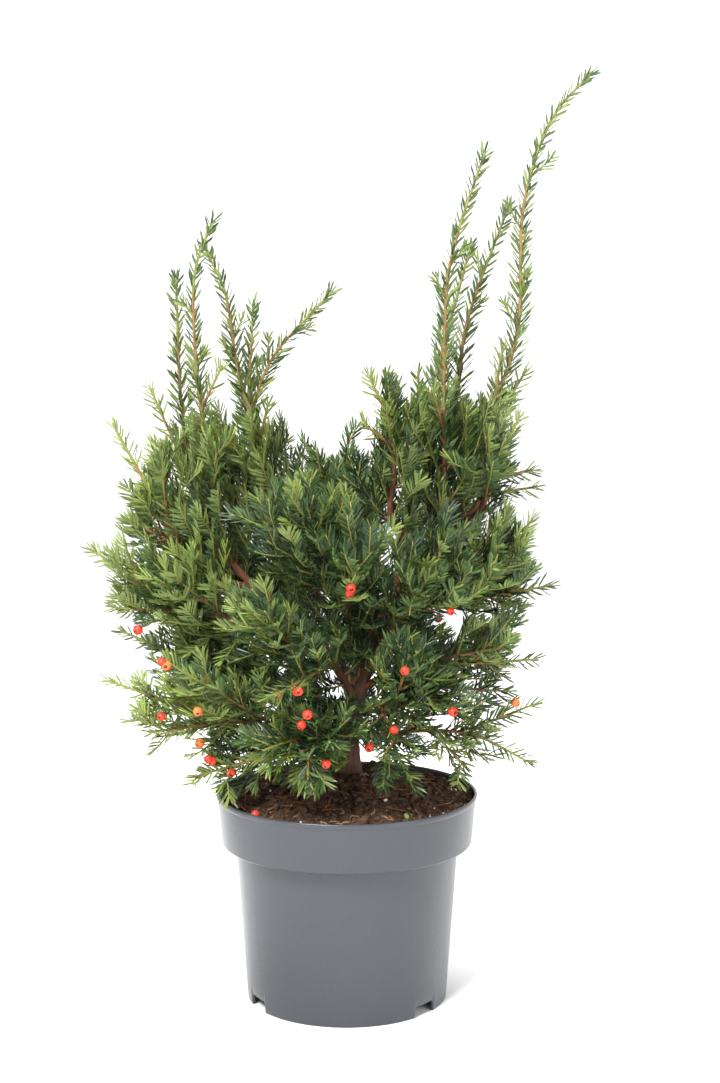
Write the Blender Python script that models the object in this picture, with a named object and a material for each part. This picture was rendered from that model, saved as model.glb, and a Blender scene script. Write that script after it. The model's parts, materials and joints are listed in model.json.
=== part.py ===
"""English yew, about a metre tall, in a round nursery container.

The plant is built as it grows. A short leaning trunk stands on the soil. Boughs leave it and
each other, and each bough ends where its mass of foliage begins. A mass is one solid: a stem and
its forks, side twigs that branch from them by a seeded rule, and needles that stand on the
twigs. A side twig is made only where it stays in its own mass's space, which is all that lies
nearer to that mass's stems than to any other's, and clear of the limbs, soil and pot. A needle
is made only where it also stays nearer to its own twig than to any other twig.

Metres, +Z up, origin on the floor under the middle of the pot. The front is towards -Y.
Places in the tables are in centimetres.
"""

import math
import random
from dataclasses import dataclass

import bmesh
import bpy
import numpy as np

CM = 0.01
UP = np.array((0.0, 0.0, 1.0))

# Clearances between neighbouring solids.
CLEARANCE = 0.0003
SPACE_MARGIN = 0.0022
STEM_MARGIN = 0.0050
TWIG_MARGIN = 0.0012
TWIG_APART = 0.0110
LIMB_MARGIN = 0.0016
SOIL_MARGIN = 0.0020

# Pot, a container of about ten litres.
RIM_RADIUS = 0.140
RIM_HEIGHT = 0.224
LIP_RADIUS = 0.1345
LIP_HEIGHT = 0.1700
NECK_RADIUS = 0.1195
FOOT_RADIUS = 0.1075
WALL = 0.0022
BAND_WALL = 0.0030
CORNER = 0.0030
BEAD_HEIGHT = 0.0060
BEAD_STEP = 0.0008
BEAD_EDGE = 0.0045
BEAD_ROUND = 0.0010
LIP_UNDERCUT = 0.0020
LIP_FILLET = 0.0015
PAD_DRAFT = 0.0020
RECESS = 0.0120
FLOOR = 0.0030
PAD_RADIUS = 0.0720
SKIRT_WALL = 0.0030
POT_SIDES = 32
NOTCH_CENTRES = (-61.0, 50.0, 174.0)  # degrees round from the front, to the right
NOTCH_WIDTH = 0.030
NOTCH_SPLAY = 0.12  # how much wider the notch is at the foot on each side, as a share of its width
NOTCH_ROOF = 0.0005
NOTCH_BELOW = 0.010

# Soil.
SOIL_EDGE = 0.2170
SOIL_TOP = 0.2450
MOUND_SPREAD = 0.062
SOIL_LUMP = 0.0022
SOIL_FLAT = 0.020
SOIL_SHOULDER = 0.0040
SOIL_RINGS = (0.0, 0.020, 0.045, 0.070, 0.095, 0.118)

# Limbs.
TRUNK_SIDES = 8
BOUGH_SIDES = 5
LIMB_STEP = 0.028
TRUNK_FOOT_RADIUS = 0.0115
TRUNK_TIP_RADIUS = 0.0085
ROOT_FLARE = 0.0065
FLARE_HEIGHT = 0.016
BOUGH_COLLAR = 0.22
COLLAR_LENGTH = 0.18

# Twigs and needles. They are larger than life, so that few of them still fill the crown.
STEM_ROOT_RADIUS = 0.0026
STEM_TIP_RADIUS = 0.0012
SIDE_ROOT_RADIUS = 0.0015
SIDE_TIP_RADIUS = 0.0010
LEAFY_PITCH = 0.0128
WHIP_NEEDLE_BASE = 0.0040
WHIP_GAP = 0.0175
LEAFY_NEEDLE = 0.0360
WHIP_NEEDLE = 0.0190
TIP_NEEDLE = 0.0140
NEEDLE_SHORT = 0.55
LEAFY_LEAN = 54.0  # degrees from the twig
WHIP_LEAN = 42.0
BARE_START = 0.010
BARE_SIDE = 0.011
FIRST_SIDE = 0.016
SIDE_SPACING = 0.077
SIDE_ANGLE = 50.0
SIDE_ANGLE_SPREAD = 8.0
SIDE_REACH_SPREAD = (0.85, 1.10)
SIDE_SPACING_SPREAD = (0.85, 1.15)
SIDE_SHORTENING = 0.5  # how much shorter the last side twigs of a stem are
SIDE_FOLLOW = 0.05  # how far each length of a side twig turns towards its stem's direction
SIDE_RISE = 0.04  # and upwards
LAST_SIDE = 0.82
WHORL_TURN = 47.0
GOLDEN_ANGLE = 137.5
SHORTEST_SIDE = 3
FORK_SHARE = 0.75
FORK_FOLLOW = 0.4
SECOND_TRY = 0.66
NEEDLE_TESTS = (0.25, 0.5, 0.75, 1.0)

BERRY_RADIUS = 0.0042
BERRY_STALK_RADIUS = 0.0011
BERRY_SIDES = 4
BERRY_REACH = 0.016
SEED = 41


@dataclass(frozen=True)
class Bough:
    """A tapering limb that leaves its parent at a share of the parent's length."""

    name: str
    parent: str
    at: float
    via: tuple
    tip: tuple
    root: float  # radii in millimetres
    end: float


@dataclass(frozen=True)
class Fork:
    """A named side stem of a mass, which leaves its stem at a share of the stem's length."""

    at: float
    tip: tuple
    via: tuple = ()
    whip: float = 1.0


@dataclass(frozen=True)
class Mass:
    """A mass of foliage: its stem from its bough's tip, or from the trunk, and its forks.

    whip is the share of the stem above which it is a bare young shoot with short sparse
    needles all round and no side twigs. side is the length of the lowest side twigs, in cm.
    """

    name: str
    bough: str
    tip: tuple
    via: tuple = ()
    forks: tuple = ()
    whip: float = 1.0
    side: float = 6.5
    at: float = 1.0


TRUNK_VIA = ((0.5, 0.0, 30.5),)
TRUNK_TIP = (2.4, 0.2, 37.8)

BOUGHS = (
    Bough("bough_centre", "trunk", 1.0, ((5.0, 0.3, 43.1), (6.2, -0.2, 50.0)), (6.9, -0.8, 56.5), 7.2, 3.8),
    Bough("bough_crown", "bough_centre", 0.62, ((4.6, -2.4, 52.6),), (4.9, -3.6, 56.5), 3.8, 2.8),
    Bough("bough_right", "bough_centre", 0.22, ((8.8, 1.6, 46.4), (12.4, 2.5, 52.5)), (14.5, 2.5, 58.0), 5.6, 3.6),
    Bough("bough_right_inner", "bough_right", 0.24, ((10.0, -0.8, 51.5),), (10.2, -1.8, 57.5), 3.8, 3.0),
    Bough("bough_right_back", "bough_right", 0.36, ((9.8, 3.9, 51.5),), (10.8, 4.8, 57.0), 3.8, 3.0),
    Bough("bough_right_high", "bough_right", 0.60, ((13.8, -0.2, 52.5),), (15.0, -1.4, 55.0), 3.4, 2.8),
    Bough("bough_right_mid", "bough_right", 0.10, (), (9.8, -2.0, 43.0), 4.0, 2.9),
    Bough("bough_right_rear", "bough_right", 0.55, ((12.8, 5.4, 51.0),), (14.4, 7.2, 53.0), 3.4, 2.8),
    Bough("bough_right_low", "trunk", 0.66, (), (6.4, -1.9, 36.6), 4.2, 2.9),
    Bough("bough_front_right", "trunk", 0.82, (), (4.4, -4.1, 40.3), 4.2, 2.9),
    Bough("bough_front_right_low", "trunk", 0.52, (), (3.3, -3.8, 32.6), 3.8, 2.8),
    Bough("bough_left_main", "trunk", 0.68, ((-3.6, 0.0, 39.2), (-9.0, 0.0, 43.6)), (-13.2, 0.0, 48.4), 6.2, 3.4),
    Bough("bough_left_rear", "bough_left_main", 0.58, ((-12.2, 3.4, 46.4),), (-14.8, 5.0, 49.8), 3.6, 2.8),
    Bough("bough_left_inner", "trunk", 0.86, ((-2.8, 1.2, 43.0), (-7.4, 2.8, 50.4)), (-9.2, 3.0, 56.6), 4.8, 3.2),
    Bough("bough_left_outer", "bough_left_main", 0.74, ((-14.2, -1.8, 46.0),), (-16.4, -3.0, 48.2), 3.4, 2.8),
    Bough("bough_left_side", "bough_left_main", 0.36, (), (-8.8, -2.6, 40.8), 3.8, 2.9),
    Bough("bough_left_low", "trunk", 0.46, (), (-5.0, 0.1, 33.4), 4.2, 2.9),
    Bough("bough_left_front", "trunk", 0.30, (), (-4.4, -4.0, 29.8), 3.8, 2.8),
    Bough("bough_front", "trunk", 0.58, (), (-0.8, -4.3, 36.4), 4.0, 2.9),
    Bough("bough_front_centre", "trunk", 0.72, (), (0.3, -3.6, 41.2), 3.8, 2.8),
    Bough("bough_top", "trunk", 0.76, ((1.8, 2.8, 40.2),), (1.4, 4.0, 43.6), 4.0, 2.9),
    Bough("bough_back_left", "trunk", 0.58, (), (-2.2, 4.4, 36.3), 4.2, 2.9),
    Bough("bough_back_right", "trunk", 0.68, (), (5.6, 4.2, 39.5), 4.2, 2.9),
    Bough("bough_back_high", "bough_left_inner", 0.45, ((-7.6, 5.6, 50.2),), (-9.4, 8.0, 53.4), 3.6, 2.8),
)

MASSES = (
    Mass("whip_right_inner", "bough_centre", (13.0, 1.4, 80.4), ((8.8, 0.4, 64.4), (10.5, 1.6, 71.0)),
         (Fork(0.20, (7.4, -2.2, 67.4)), Fork(0.10, (11.4, 1.6, 66.0))), whip=0.36, side=5.0),
    Mass("crown_inner", "bough_crown", (2.2, -4.0, 67.2), ((4.3, -4.2, 62.4),),
         (Fork(0.25, (5.2, -4.4, 66.2)), Fork(0.30, (1.6, -7.0, 62.4))), side=5.5),
    Mass("whip_tall", "bough_right", (25.4, 2.0, 98.2), ((15.4, 2.3, 62.5), (18.1, 2.0, 72.0), (18.5, 2.0, 84.1),
         (21.2, 2.0, 93.1)), (Fork(0.02, (16.4, 0.2, 70.0)), Fork(0.05, (19.2, 4.4, 67.4))), whip=0.28, side=4.5),
    Mass("whip_right", "bough_right_inner", (14.2, -2.2, 89.8), ((10.1, -2.2, 65.0), (10.3, -2.2, 75.0),
         (11.3, -2.2, 81.0)), (Fork(0.10, (8.8, -6.0, 65.8)),), whip=0.34, side=5.0),
    Mass("whip_right_back", "bough_right_back", (17.2, 4.2, 84.8), ((12.0, 4.8, 65.9), (13.0, 4.6, 73.0)),
         (Fork(0.10, (9.6, 8.4, 65.6)),), whip=0.36, side=5.0),
    Mass("right_high", "bough_right_high", (18.0, -2.4, 62.8), ((16.0, -2.0, 58.4),),
         (Fork(0.15, (19.4, -3.0, 57.2)), Fork(0.10, (14.4, -6.4, 57.6))), side=5.0),
    Mass("right_mid", "bough_right_mid", (19.2, -5.0, 52.4), ((12.6, -3.3, 43.8), (15.8, -4.2, 46.8)),
         (Fork(0.10, (21.4, -3.4, 45.2)), Fork(0.20, (15.6, -8.4, 49.2))), side=6.0),
    Mass("right_rear", "bough_right_rear", (18.6, 11.4, 60.4), ((16.2, 8.8, 55.4),),
         (Fork(0.15, (13.6, 12.6, 58.4)), Fork(0.10, (20.8, 7.0, 54.6))), side=6.0),
    Mass("right_low", "bough_right_low", (20.0, -3.6, 37.4), ((9.8, -2.9, 36.9), (14.4, -3.4, 37.0)),
         (Fork(0.10, (16.8, -8.4, 39.6)), Fork(0.25, (17.0, 0.8, 41.6))), side=6.0),
    Mass("front_right_high", "bough_front_right", (10.4, -9.6, 50.0), ((5.9, -6.0, 42.4), (7.6, -7.6, 45.4)),
         (Fork(0.15, (7.2, -12.0, 45.6)), Fork(0.20, (11.6, -8.8, 44.8))), side=6.0),
    Mass("front_right", "bough_front_right_low", (6.4, -10.6, 39.0), ((5.2, -7.8, 34.6),),
         (Fork(0.15, (10.6, -9.4, 34.4)), Fork(0.05, (5.6, -11.4, 28.0))), side=6.0),
    Mass("whip_left", "bough_left_main", (-13.9, 0.0, 83.0), ((-15.2, 0.0, 62.7), (-15.9, 0.0, 70.6),
         (-15.8, 0.0, 77.6)), (Fork(0.10, (-13.4, -3.6, 59.4)), Fork(0.44, (-13.0, -0.6, 68.0))),
         whip=0.42, side=4.5),
    Mass("whip_left_rear", "bough_left_rear", (-18.1, 3.8, 77.2), ((-17.0, 4.8, 58.0), (-17.9, 4.2, 66.0)),
         (Fork(0.16, (-21.4, 6.4, 65.6)), Fork(0.12, (-15.2, 8.6, 60.2))), whip=0.42, side=5.0),
    Mass("whip_left_inner", "bough_left_inner", (-15.0, 4.4, 80.2), ((-10.2, 3.4, 61.6), (-11.8, 4.2, 68.0),
         (-12.9, 4.4, 75.3)), (Fork(0.26, (-10.0, 4.6, 74.4), whip=0.3),
         Fork(0.22, (-1.6, 2.4, 75.6), ((-7.8, 3.0, 68.8),), whip=0.3), Fork(0.06, (-8.2, -0.8, 64.2))),
         whip=0.40, side=5.0),
    Mass("left_outer", "bough_left_outer", (-24.0, -3.6, 61.8), ((-20.2, -3.6, 54.8),),
         (Fork(0.20, (-19.0, -6.8, 58.0)), Fork(0.10, (-22.8, -5.0, 52.2))), side=6.0),
    Mass("left_side", "bough_left_side", (-26.4, -5.0, 49.2), ((-12.4, -4.6, 41.6), (-18.6, -5.2, 44.2)),
         (Fork(0.15, (-17.8, -9.2, 47.0)), Fork(0.30, (-24.0, -6.8, 43.4))), side=6.5),
    Mass("left_low", "bough_left_low", (-24.2, 1.2, 39.6), ((-9.6, 0.6, 34.2), (-16.4, 1.2, 36.4)),
         (Fork(0.20, (-20.4, 5.0, 43.6)), Fork(0.10, (-17.8, -2.4, 38.6))), side=6.5),
    Mass("left_front", "bough_left_front", (-24.4, -8.2, 36.0), ((-8.4, -6.8, 31.0), (-15.6, -8.4, 33.0)),
         (Fork(0.15, (-16.2, -12.2, 37.6)), Fork(0.35, (-20.2, -9.8, 31.0))), side=6.0),
    Mass("left_foot", "trunk", (-15.4, -10.8, 26.6), ((-6.6, -5.6, 27.8),),
         (Fork(0.45, (-13.6, -5.4, 28.2)),), side=5.0, at=0.12),
    Mass("front_left", "bough_front", (-8.0, -14.6, 44.2), ((-2.9, -7.4, 38.0), (-5.6, -10.8, 40.2)),
         (Fork(0.10, (-7.0, -16.0, 36.0)), Fork(0.20, (-10.8, -10.0, 42.4))), side=6.0),
    Mass("front_low", "trunk", (-8.2, -15.6, 30.4), ((-2.4, -6.8, 30.6),),
         (Fork(0.35, (-1.6, -15.4, 31.2)), Fork(0.55, (-3.8, -15.8, 27.6))), side=6.0, at=0.40),
    Mass("front_centre", "bough_front_centre", (-4.2, -10.8, 55.0), ((-1.2, -5.6, 45.0), (-2.6, -8.0, 49.6)),
         (Fork(0.10, (1.2, -11.6, 48.4)), Fork(0.25, (-8.6, -8.4, 52.6))), side=6.0),
    Mass("centre_top", "bough_top", (0.2, 6.4, 60.4), ((0.2, 4.8, 48.6), (-0.4, 5.2, 54.0)),
         (Fork(0.20, (-4.6, 2.4, 60.0)), Fork(0.12, (3.6, 8.8, 56.6))), side=6.5),
    Mass("back_left", "bough_back_left", (-14.6, 14.2, 47.8), ((-6.0, 7.2, 39.6), (-10.2, 10.6, 43.0)),
         (Fork(0.15, (-6.2, 14.6, 48.6)), Fork(0.20, (-18.4, 8.6, 46.8))), side=7.0),
    Mass("back_right", "bough_back_right", (14.2, 13.8, 50.4), ((8.4, 7.2, 42.4), (11.2, 10.2, 45.8)),
         (Fork(0.15, (7.4, 13.8, 50.8)), Fork(0.15, (18.4, 8.4, 46.2))), side=7.0),
    Mass("back_centre", "trunk", (1.6, 17.0, 42.0), ((2.0, 7.0, 35.4),),
         (Fork(0.40, (-4.8, 15.4, 37.6)), Fork(0.50, (7.4, 14.6, 38.0))), side=6.5, at=0.52),
    Mass("back_left_low", "trunk", (-17.6, 11.2, 35.0), ((-8.2, 6.4, 32.0),),
         (Fork(0.40, (-9.4, 15.2, 31.8)), Fork(0.55, (-18.6, 5.6, 31.6))), side=6.5, at=0.36),
    Mass("back_right_low", "trunk", (17.2, 10.2, 35.4), ((8.6, 5.4, 32.2),),
         (Fork(0.40, (9.6, 14.4, 31.6)), Fork(0.55, (17.8, 4.4, 32.4))), side=6.5, at=0.42),
    Mass("right_foot", "trunk", (19.2, -4.6, 26.6), ((7.4, -3.0, 29.6), (13.4, -4.2, 29.4)),
         (Fork(0.45, (12.2, -8.6, 27.2)), Fork(0.60, (19.8, -4.4, 32.8))), side=5.0, at=0.26),
    Mass("back_high", "bough_back_high", (-13.6, 12.0, 60.4), ((-11.4, 9.8, 56.4),),
         (Fork(0.15, (-6.6, 11.6, 59.4)), Fork(0.12, (-14.8, 12.4, 54.2))), side=6.5),
)

# Ripe berries, where they show from a step away, in centimetres.
BERRIES = (
    (-20.2, -8.4, 39.2), (-17.0, -10.6, 37.0), (-18.6, -10.4, 31.4), (-13.4, -12.6, 31.8), (-12.0, -13.4, 27.2),
    (-11.8, -10.8, 41.4), (-5.8, -14.6, 35.4), (-3.8, -14.8, 32.2), (-4.4, -12.6, 39.8), (-0.6, -11.6, 44.8),
    (-1.4, -11.8, 43.8), (4.2, -9.8, 36.8), (4.8, -10.2, 30.2), (9.4, -8.6, 42.0), (15.6, -5.6, 33.4),
    (-9.8, 13.2, 37.4), (10.6, 12.4, 39.2), (3.0, 14.2, 34.4),
)


def unit(vectors):
    """The vectors at length one."""
    vectors = np.asarray(vectors, float)
    return vectors / np.linalg.norm(vectors, axis=-1, keepdims=True)


def smooth_path(points, step, lead=None):
    """Even points, about step apart, on the smooth curve through the given ones.

    The curve is a Catmull-Rom spline. lead is the direction in which it sets out.
    """
    points = np.asarray(points, float)
    before = 2 * points[0] - points[1]
    if lead is not None:
        before = points[1] - 2 * lead * np.linalg.norm(points[1] - points[0])
    ends = np.vstack([before, points, 2 * points[-1] - points[-2]])
    t = np.linspace(0, 1, 24, endpoint=False)[:, None]
    spans = [
        0.5 * (2 * b + (c - a) * t + (2 * a - 5 * b + 4 * c - d) * t**2 + (3 * b - a - 3 * c + d) * t**3)
        for a, b, c, d in zip(ends, ends[1:], ends[2:], ends[3:])
    ]
    fine = np.vstack([*spans, points[-1:]])
    run = np.concatenate([[0], np.cumsum(np.linalg.norm(np.diff(fine, axis=0), axis=1))])
    even = np.linspace(0, run[-1], max(3, round(run[-1] / step) + 1))
    return np.column_stack([np.interp(even, run, fine[:, k]) for k in range(3)])


def frames(path, lead=None):
    """Directions at each point of a path: along it, level to its side, and up from it."""
    along = unit(np.gradient(path, axis=0))
    if lead is not None:
        along[0] = lead
    side = np.cross(along[0], UP)
    if np.linalg.norm(side) < 0.15:
        side = np.array((1.0, 0.0, 0.0))
    sides = []
    for direction in along:
        side = unit(side - direction * (side @ direction))
        sides.append(side)
    sides = np.array(sides)
    return along, sides, np.cross(sides, along)


def add_object(name, vertices, faces, collection=None):
    """A mesh object of closed surface, its faces turned outwards."""
    mesh = bpy.data.meshes.new(name)
    mesh.from_pydata([tuple(v) for v in vertices], [], faces)
    shell = bmesh.new()
    shell.from_mesh(mesh)
    bmesh.ops.recalc_face_normals(shell, faces=shell.faces)
    shell.to_mesh(mesh)
    shell.free()
    made = bpy.data.objects.new(name, mesh)
    (collection or bpy.context.scene.collection).objects.link(made)
    return made


def tube(name, path, radii, sides, lead=None, collection=None):
    """A closed tapering tube along a path, with flat ends."""
    along, side, up = frames(path, lead)
    angles = 2 * np.pi * np.arange(sides) / sides
    round_it = np.cos(angles)[None, :, None] * side[:, None, :] + np.sin(angles)[None, :, None] * up[:, None, :]
    vertices = (path[:, None, :] + radii[:, None, None] * round_it).reshape(-1, 3)
    faces = [tuple(range(sides)), tuple(range(len(vertices) - sides, len(vertices)))]
    for ring in range(len(path) - 1):
        for k in range(sides):
            a, b = ring * sides + k, ring * sides + (k + 1) % sides
            faces.append((a, b, b + sides, a + sides))
    return add_object(name, vertices, faces, collection)


def apply_modifiers(made):
    """Bakes an object's modifiers into its mesh."""
    bpy.context.view_layer.update()
    evaluated = made.evaluated_get(bpy.context.evaluated_depsgraph_get())
    baked = bpy.data.meshes.new_from_object(evaluated)
    made.modifiers.clear()
    made.data = baked


def cut(made, cutter, solver="EXACT"):
    """Takes the cutter's shape out of an object, and removes the cutter."""
    difference = made.modifiers.new("cut", "BOOLEAN")
    difference.operation = "DIFFERENCE"
    difference.solver = solver
    difference.object = cutter
    apply_modifiers(made)
    bpy.data.objects.remove(cutter)


def outer_shell(made):
    """Keeps an object's largest shell, so that scraps are dropped and sealed hollows filled."""
    shell = bmesh.new()
    shell.from_mesh(made.data)
    bmesh.ops.triangulate(shell, faces=shell.faces)
    groups, seen = [], set()
    for start in shell.verts:
        if start in seen:
            continue
        seen.add(start)
        group, waiting = [], [start]
        while waiting:
            vertex = waiting.pop()
            group.append(vertex)
            for edge in vertex.link_edges:
                other = edge.other_vert(vertex)
                if other not in seen:
                    seen.add(other)
                    waiting.append(other)
        groups.append(group)
    groups.sort(key=len)
    bmesh.ops.delete(shell, geom=[v for group in groups[:-1] for v in group], context="VERTS")
    shell.to_mesh(made.data)
    shell.free()


def finish(made, name, colour, roughness, smooth=True):
    """Gives an object its own material and its shading."""
    material = bpy.data.materials.new(name)
    material.use_nodes = True
    shader = material.node_tree.nodes["Principled BSDF"]
    shader.inputs["Base Color"].default_value = (*colour, 1.0)
    shader.inputs["Roughness"].default_value = roughness
    shader.inputs["Metallic"].default_value = 0.0
    made.data.materials.clear()
    made.data.materials.append(material)
    if smooth:
        made.data.shade_smooth()
        made.data.set_sharp_from_angle(angle=math.radians(35))


def turned(name, profile, sides):
    """A closed solid turned round the Z axis from a profile of (radius, height) points.

    The profile runs from the axis to the axis.
    """
    angles = 2 * np.pi * np.arange(sides) / sides
    vertices = [(0.0, 0.0, profile[0][1])]
    for radius, height in profile[1:-1]:
        vertices += [(radius * math.sin(a), -radius * math.cos(a), height) for a in angles]
    vertices.append((0.0, 0.0, profile[-1][1]))
    faces = []
    last = len(vertices) - 1
    outermost = last - sides
    for k in range(sides):
        n = (k + 1) % sides
        faces.append((0, 1 + k, 1 + n))
        faces.append((last, outermost + k, outermost + n))
        for ring in range(len(profile) - 3):
            a, b = 1 + ring * sides + k, 1 + ring * sides + n
            faces.append((a, b, b + sides, a + sides))
    return add_object(name, vertices, faces)


def wall_radius(height):
    """The outer radius of the pot's body at a height below its band."""
    return FOOT_RADIUS + (NECK_RADIUS - FOOT_RADIUS) * height / LIP_HEIGHT


def band_radius(height):
    """The outer radius of the rim band at a height."""
    share = (height - LIP_HEIGHT) / (RIM_HEIGHT - LIP_HEIGHT)
    return LIP_RADIUS + (RIM_RADIUS - LIP_RADIUS) * share


def build_pot():
    """The container: tapered body, wide rim band, recessed floor and notched skirt."""
    floor_top = RECESS + FLOOR
    profile = [
        (0.0, 0.0),
        (PAD_RADIUS, 0.0),
        (PAD_RADIUS + PAD_DRAFT, RECESS),
        (wall_radius(RECESS) - SKIRT_WALL, RECESS),
        (FOOT_RADIUS - SKIRT_WALL, 0.0),
        (FOOT_RADIUS, 0.0),
        (NECK_RADIUS, LIP_HEIGHT - LIP_UNDERCUT),
        (NECK_RADIUS + LIP_FILLET, LIP_HEIGHT),
        (LIP_RADIUS - CORNER, LIP_HEIGHT),
        (LIP_RADIUS, LIP_HEIGHT + CORNER),
        (band_radius(RIM_HEIGHT - BEAD_HEIGHT) - BEAD_STEP, RIM_HEIGHT - BEAD_HEIGHT),
        (RIM_RADIUS, RIM_HEIGHT - BEAD_EDGE),
        (RIM_RADIUS, RIM_HEIGHT - BEAD_ROUND),
        (RIM_RADIUS - BEAD_ROUND, RIM_HEIGHT),
        (RIM_RADIUS - BAND_WALL, RIM_HEIGHT),
        (LIP_RADIUS - BAND_WALL, LIP_HEIGHT + 2 * CORNER),
        (NECK_RADIUS - WALL, LIP_HEIGHT + CORNER),
        (wall_radius(floor_top) - WALL, floor_top),
        (0.0, floor_top),
    ]
    pot = turned("pot", profile, POT_SIDES)
    for centre in NOTCH_CENTRES:
        angle = math.radians(centre)
        out = np.array((math.sin(angle), -math.cos(angle), 0.0))
        across = np.array((math.cos(angle), math.sin(angle), 0.0))
        roof, splay = RECESS - NOTCH_ROOF, 0.5 + NOTCH_SPLAY
        corners = []
        for radius in (FOOT_RADIUS - 2.5 * SKIRT_WALL, FOOT_RADIUS + 2 * SKIRT_WALL):
            for half, height in ((0.5, roof), (-0.5, roof), (-splay, -NOTCH_BELOW), (splay, -NOTCH_BELOW)):
                corners.append(out * radius + across * NOTCH_WIDTH * half + UP * height)
        faces = [(0, 1, 2, 3), (4, 5, 6, 7), (0, 1, 5, 4), (1, 2, 6, 5), (2, 3, 7, 6), (3, 0, 4, 7)]
        cut(pot, add_object("notch", corners, faces))
    finish(pot, "pot", (0.115, 0.122, 0.137), 0.42)


def soil_height(x, y):
    """The height of the soil: a low mound with small lumps, flat under the trunk."""
    radius = np.hypot(x, y)
    away = np.clip(radius - SOIL_FLAT, 0, None)
    mound = (SOIL_TOP - SOIL_EDGE) * np.exp(-((away / MOUND_SPREAD) ** 2))
    lumps = np.sin(61 * x + 1.3) * np.cos(53 * y + 0.4) + 0.6 * np.sin(127 * x - 97 * y)
    return SOIL_EDGE + mound + SOIL_LUMP * lumps * np.clip(away / SOIL_FLAT, 0, 1)


def build_soil():
    """The soil that fills the pot, clear of its wall, with a mounded lumpy top."""
    floor = RECESS + FLOOR + CLEARANCE
    gap = CLEARANCE / math.cos(math.pi / POT_SIDES) + CLEARANCE
    edges = (
        (wall_radius(floor) - WALL - gap, floor),
        (NECK_RADIUS - WALL - gap, LIP_HEIGHT + CORNER),
        (LIP_RADIUS - BAND_WALL - gap, LIP_HEIGHT + 2 * CORNER + gap),
        (band_radius(SOIL_EDGE - SOIL_SHOULDER) - BAND_WALL - 2 * gap, SOIL_EDGE - SOIL_SHOULDER),
    )
    angles = 2 * np.pi * np.arange(POT_SIDES) / POT_SIDES
    around = np.column_stack([np.sin(angles), -np.cos(angles)])
    vertices = [(0.0, 0.0, floor)]
    for radius, height in edges:
        vertices += [(radius * x, radius * y, height) for x, y in around]
    for radius in SOIL_RINGS[:0:-1]:
        vertices += [(radius * x, radius * y, soil_height(radius * x, radius * y)) for x, y in around]
    vertices.append((0.0, 0.0, SOIL_TOP))
    faces = []
    rings = len(edges) + len(SOIL_RINGS) - 1
    last = len(vertices) - 1
    for k in range(POT_SIDES):
        n = (k + 1) % POT_SIDES
        faces.append((0, 1 + k, 1 + n))
        faces.append((last, last - POT_SIDES + k, last - POT_SIDES + n))
        for ring in range(rings - 1):
            a, b = 1 + ring * POT_SIDES + k, 1 + ring * POT_SIDES + n
            faces.append((a, b, b + POT_SIDES, a + POT_SIDES))
    finish(add_object("soil", vertices, faces), "soil", (0.035, 0.022, 0.015), 0.95)


def at_share(path, share):
    """The point at a share of a path's length, whose points are evenly spaced."""
    place = share * (len(path) - 1)
    low = min(int(place), len(path) - 2)
    return path[low] + (place - low) * (path[low + 1] - path[low])


class Limb:
    """A limb's centre line, radii and, where it carries on from another's tip, its lead."""

    def __init__(self, path, radii, sides, lead=None):
        self.path = path
        self.radii = radii
        self.sides = sides
        self.lead = lead

    def heading(self):
        """The direction at the tip."""
        return unit(self.path[-1] - self.path[-2])

    def fattened(self):
        """A cutter of this limb's shape with the clearance all round."""
        grown = self.radii + CLEARANCE / math.cos(math.pi / self.sides)
        cutter = tube("cutter", self.path, grown, self.sides, self.lead)
        cutter.hide_render = True
        cutter.display_type = "WIRE"
        return cutter


def trunk_limb():
    """The trunk, from its flat cut on the soil to the fork."""
    foot = (0.0, 0.0, SOIL_TOP + CLEARANCE)
    points = [foot, *(np.array(p) * CM for p in TRUNK_VIA), np.array(TRUNK_TIP) * CM]
    path = smooth_path(points, LIMB_STEP / 2, lead=UP)
    share = np.linspace(0, 1, len(path))
    radii = TRUNK_FOOT_RADIUS + (TRUNK_TIP_RADIUS - TRUNK_FOOT_RADIUS) * share
    radii = radii + ROOT_FLARE * np.exp(-(path[:, 2] - foot[2]) / FLARE_HEIGHT)
    return Limb(path, radii, TRUNK_SIDES, UP)


def bough_limb(bough, limbs):
    """A bough's centre line and radii, from its row and the limbs made before it."""
    parent = limbs[bough.parent]
    lead = None
    root = at_share(parent.path, bough.at)
    if bough.at == 1.0:
        lead = parent.heading()
        root = root + lead * CLEARANCE
    points = [root, *(np.array(p) * CM for p in (*bough.via, bough.tip))]
    path = smooth_path(points, LIMB_STEP, lead)
    share = np.linspace(0, 1, len(path))
    radii = bough.root + (bough.end - bough.root) * share
    radii = radii * (1 + BOUGH_COLLAR * np.exp(-share / COLLAR_LENGTH) * (bough.at < 1.0))
    return Limb(path, radii * CM / 10, BOUGH_SIDES, lead)


def build_limbs():
    """Makes the trunk and boughs, each bough cut clear of its parent, and returns them."""
    limbs = {"trunk": trunk_limb()}
    for bough in BOUGHS:
        limbs[bough.name] = bough_limb(bough, limbs)
    for name, limb in limbs.items():
        made = tube(name, limb.path, limb.radii, limb.sides, limb.lead)
        row = next((b for b in BOUGHS if b.name == name), None)
        if row and row.at < 1.0:
            cut(made, limbs[row.parent].fattened())
        outer_shell(made)
        brown = (0.085, 0.050, 0.034) if name == "trunk" else (0.125, 0.060, 0.034)
        finish(made, name, brown, 0.85)
    return limbs


class Twig:
    """A stem, fork or side twig: path, radii, owning mass, share where its whip begins, lead."""

    def __init__(self, path, radii, owner, whip=1.0, lead=None, side=False):
        self.path = path
        self.radii = radii
        self.owner = owner
        self.whip = whip
        self.lead = lead
        self.side = side


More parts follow.
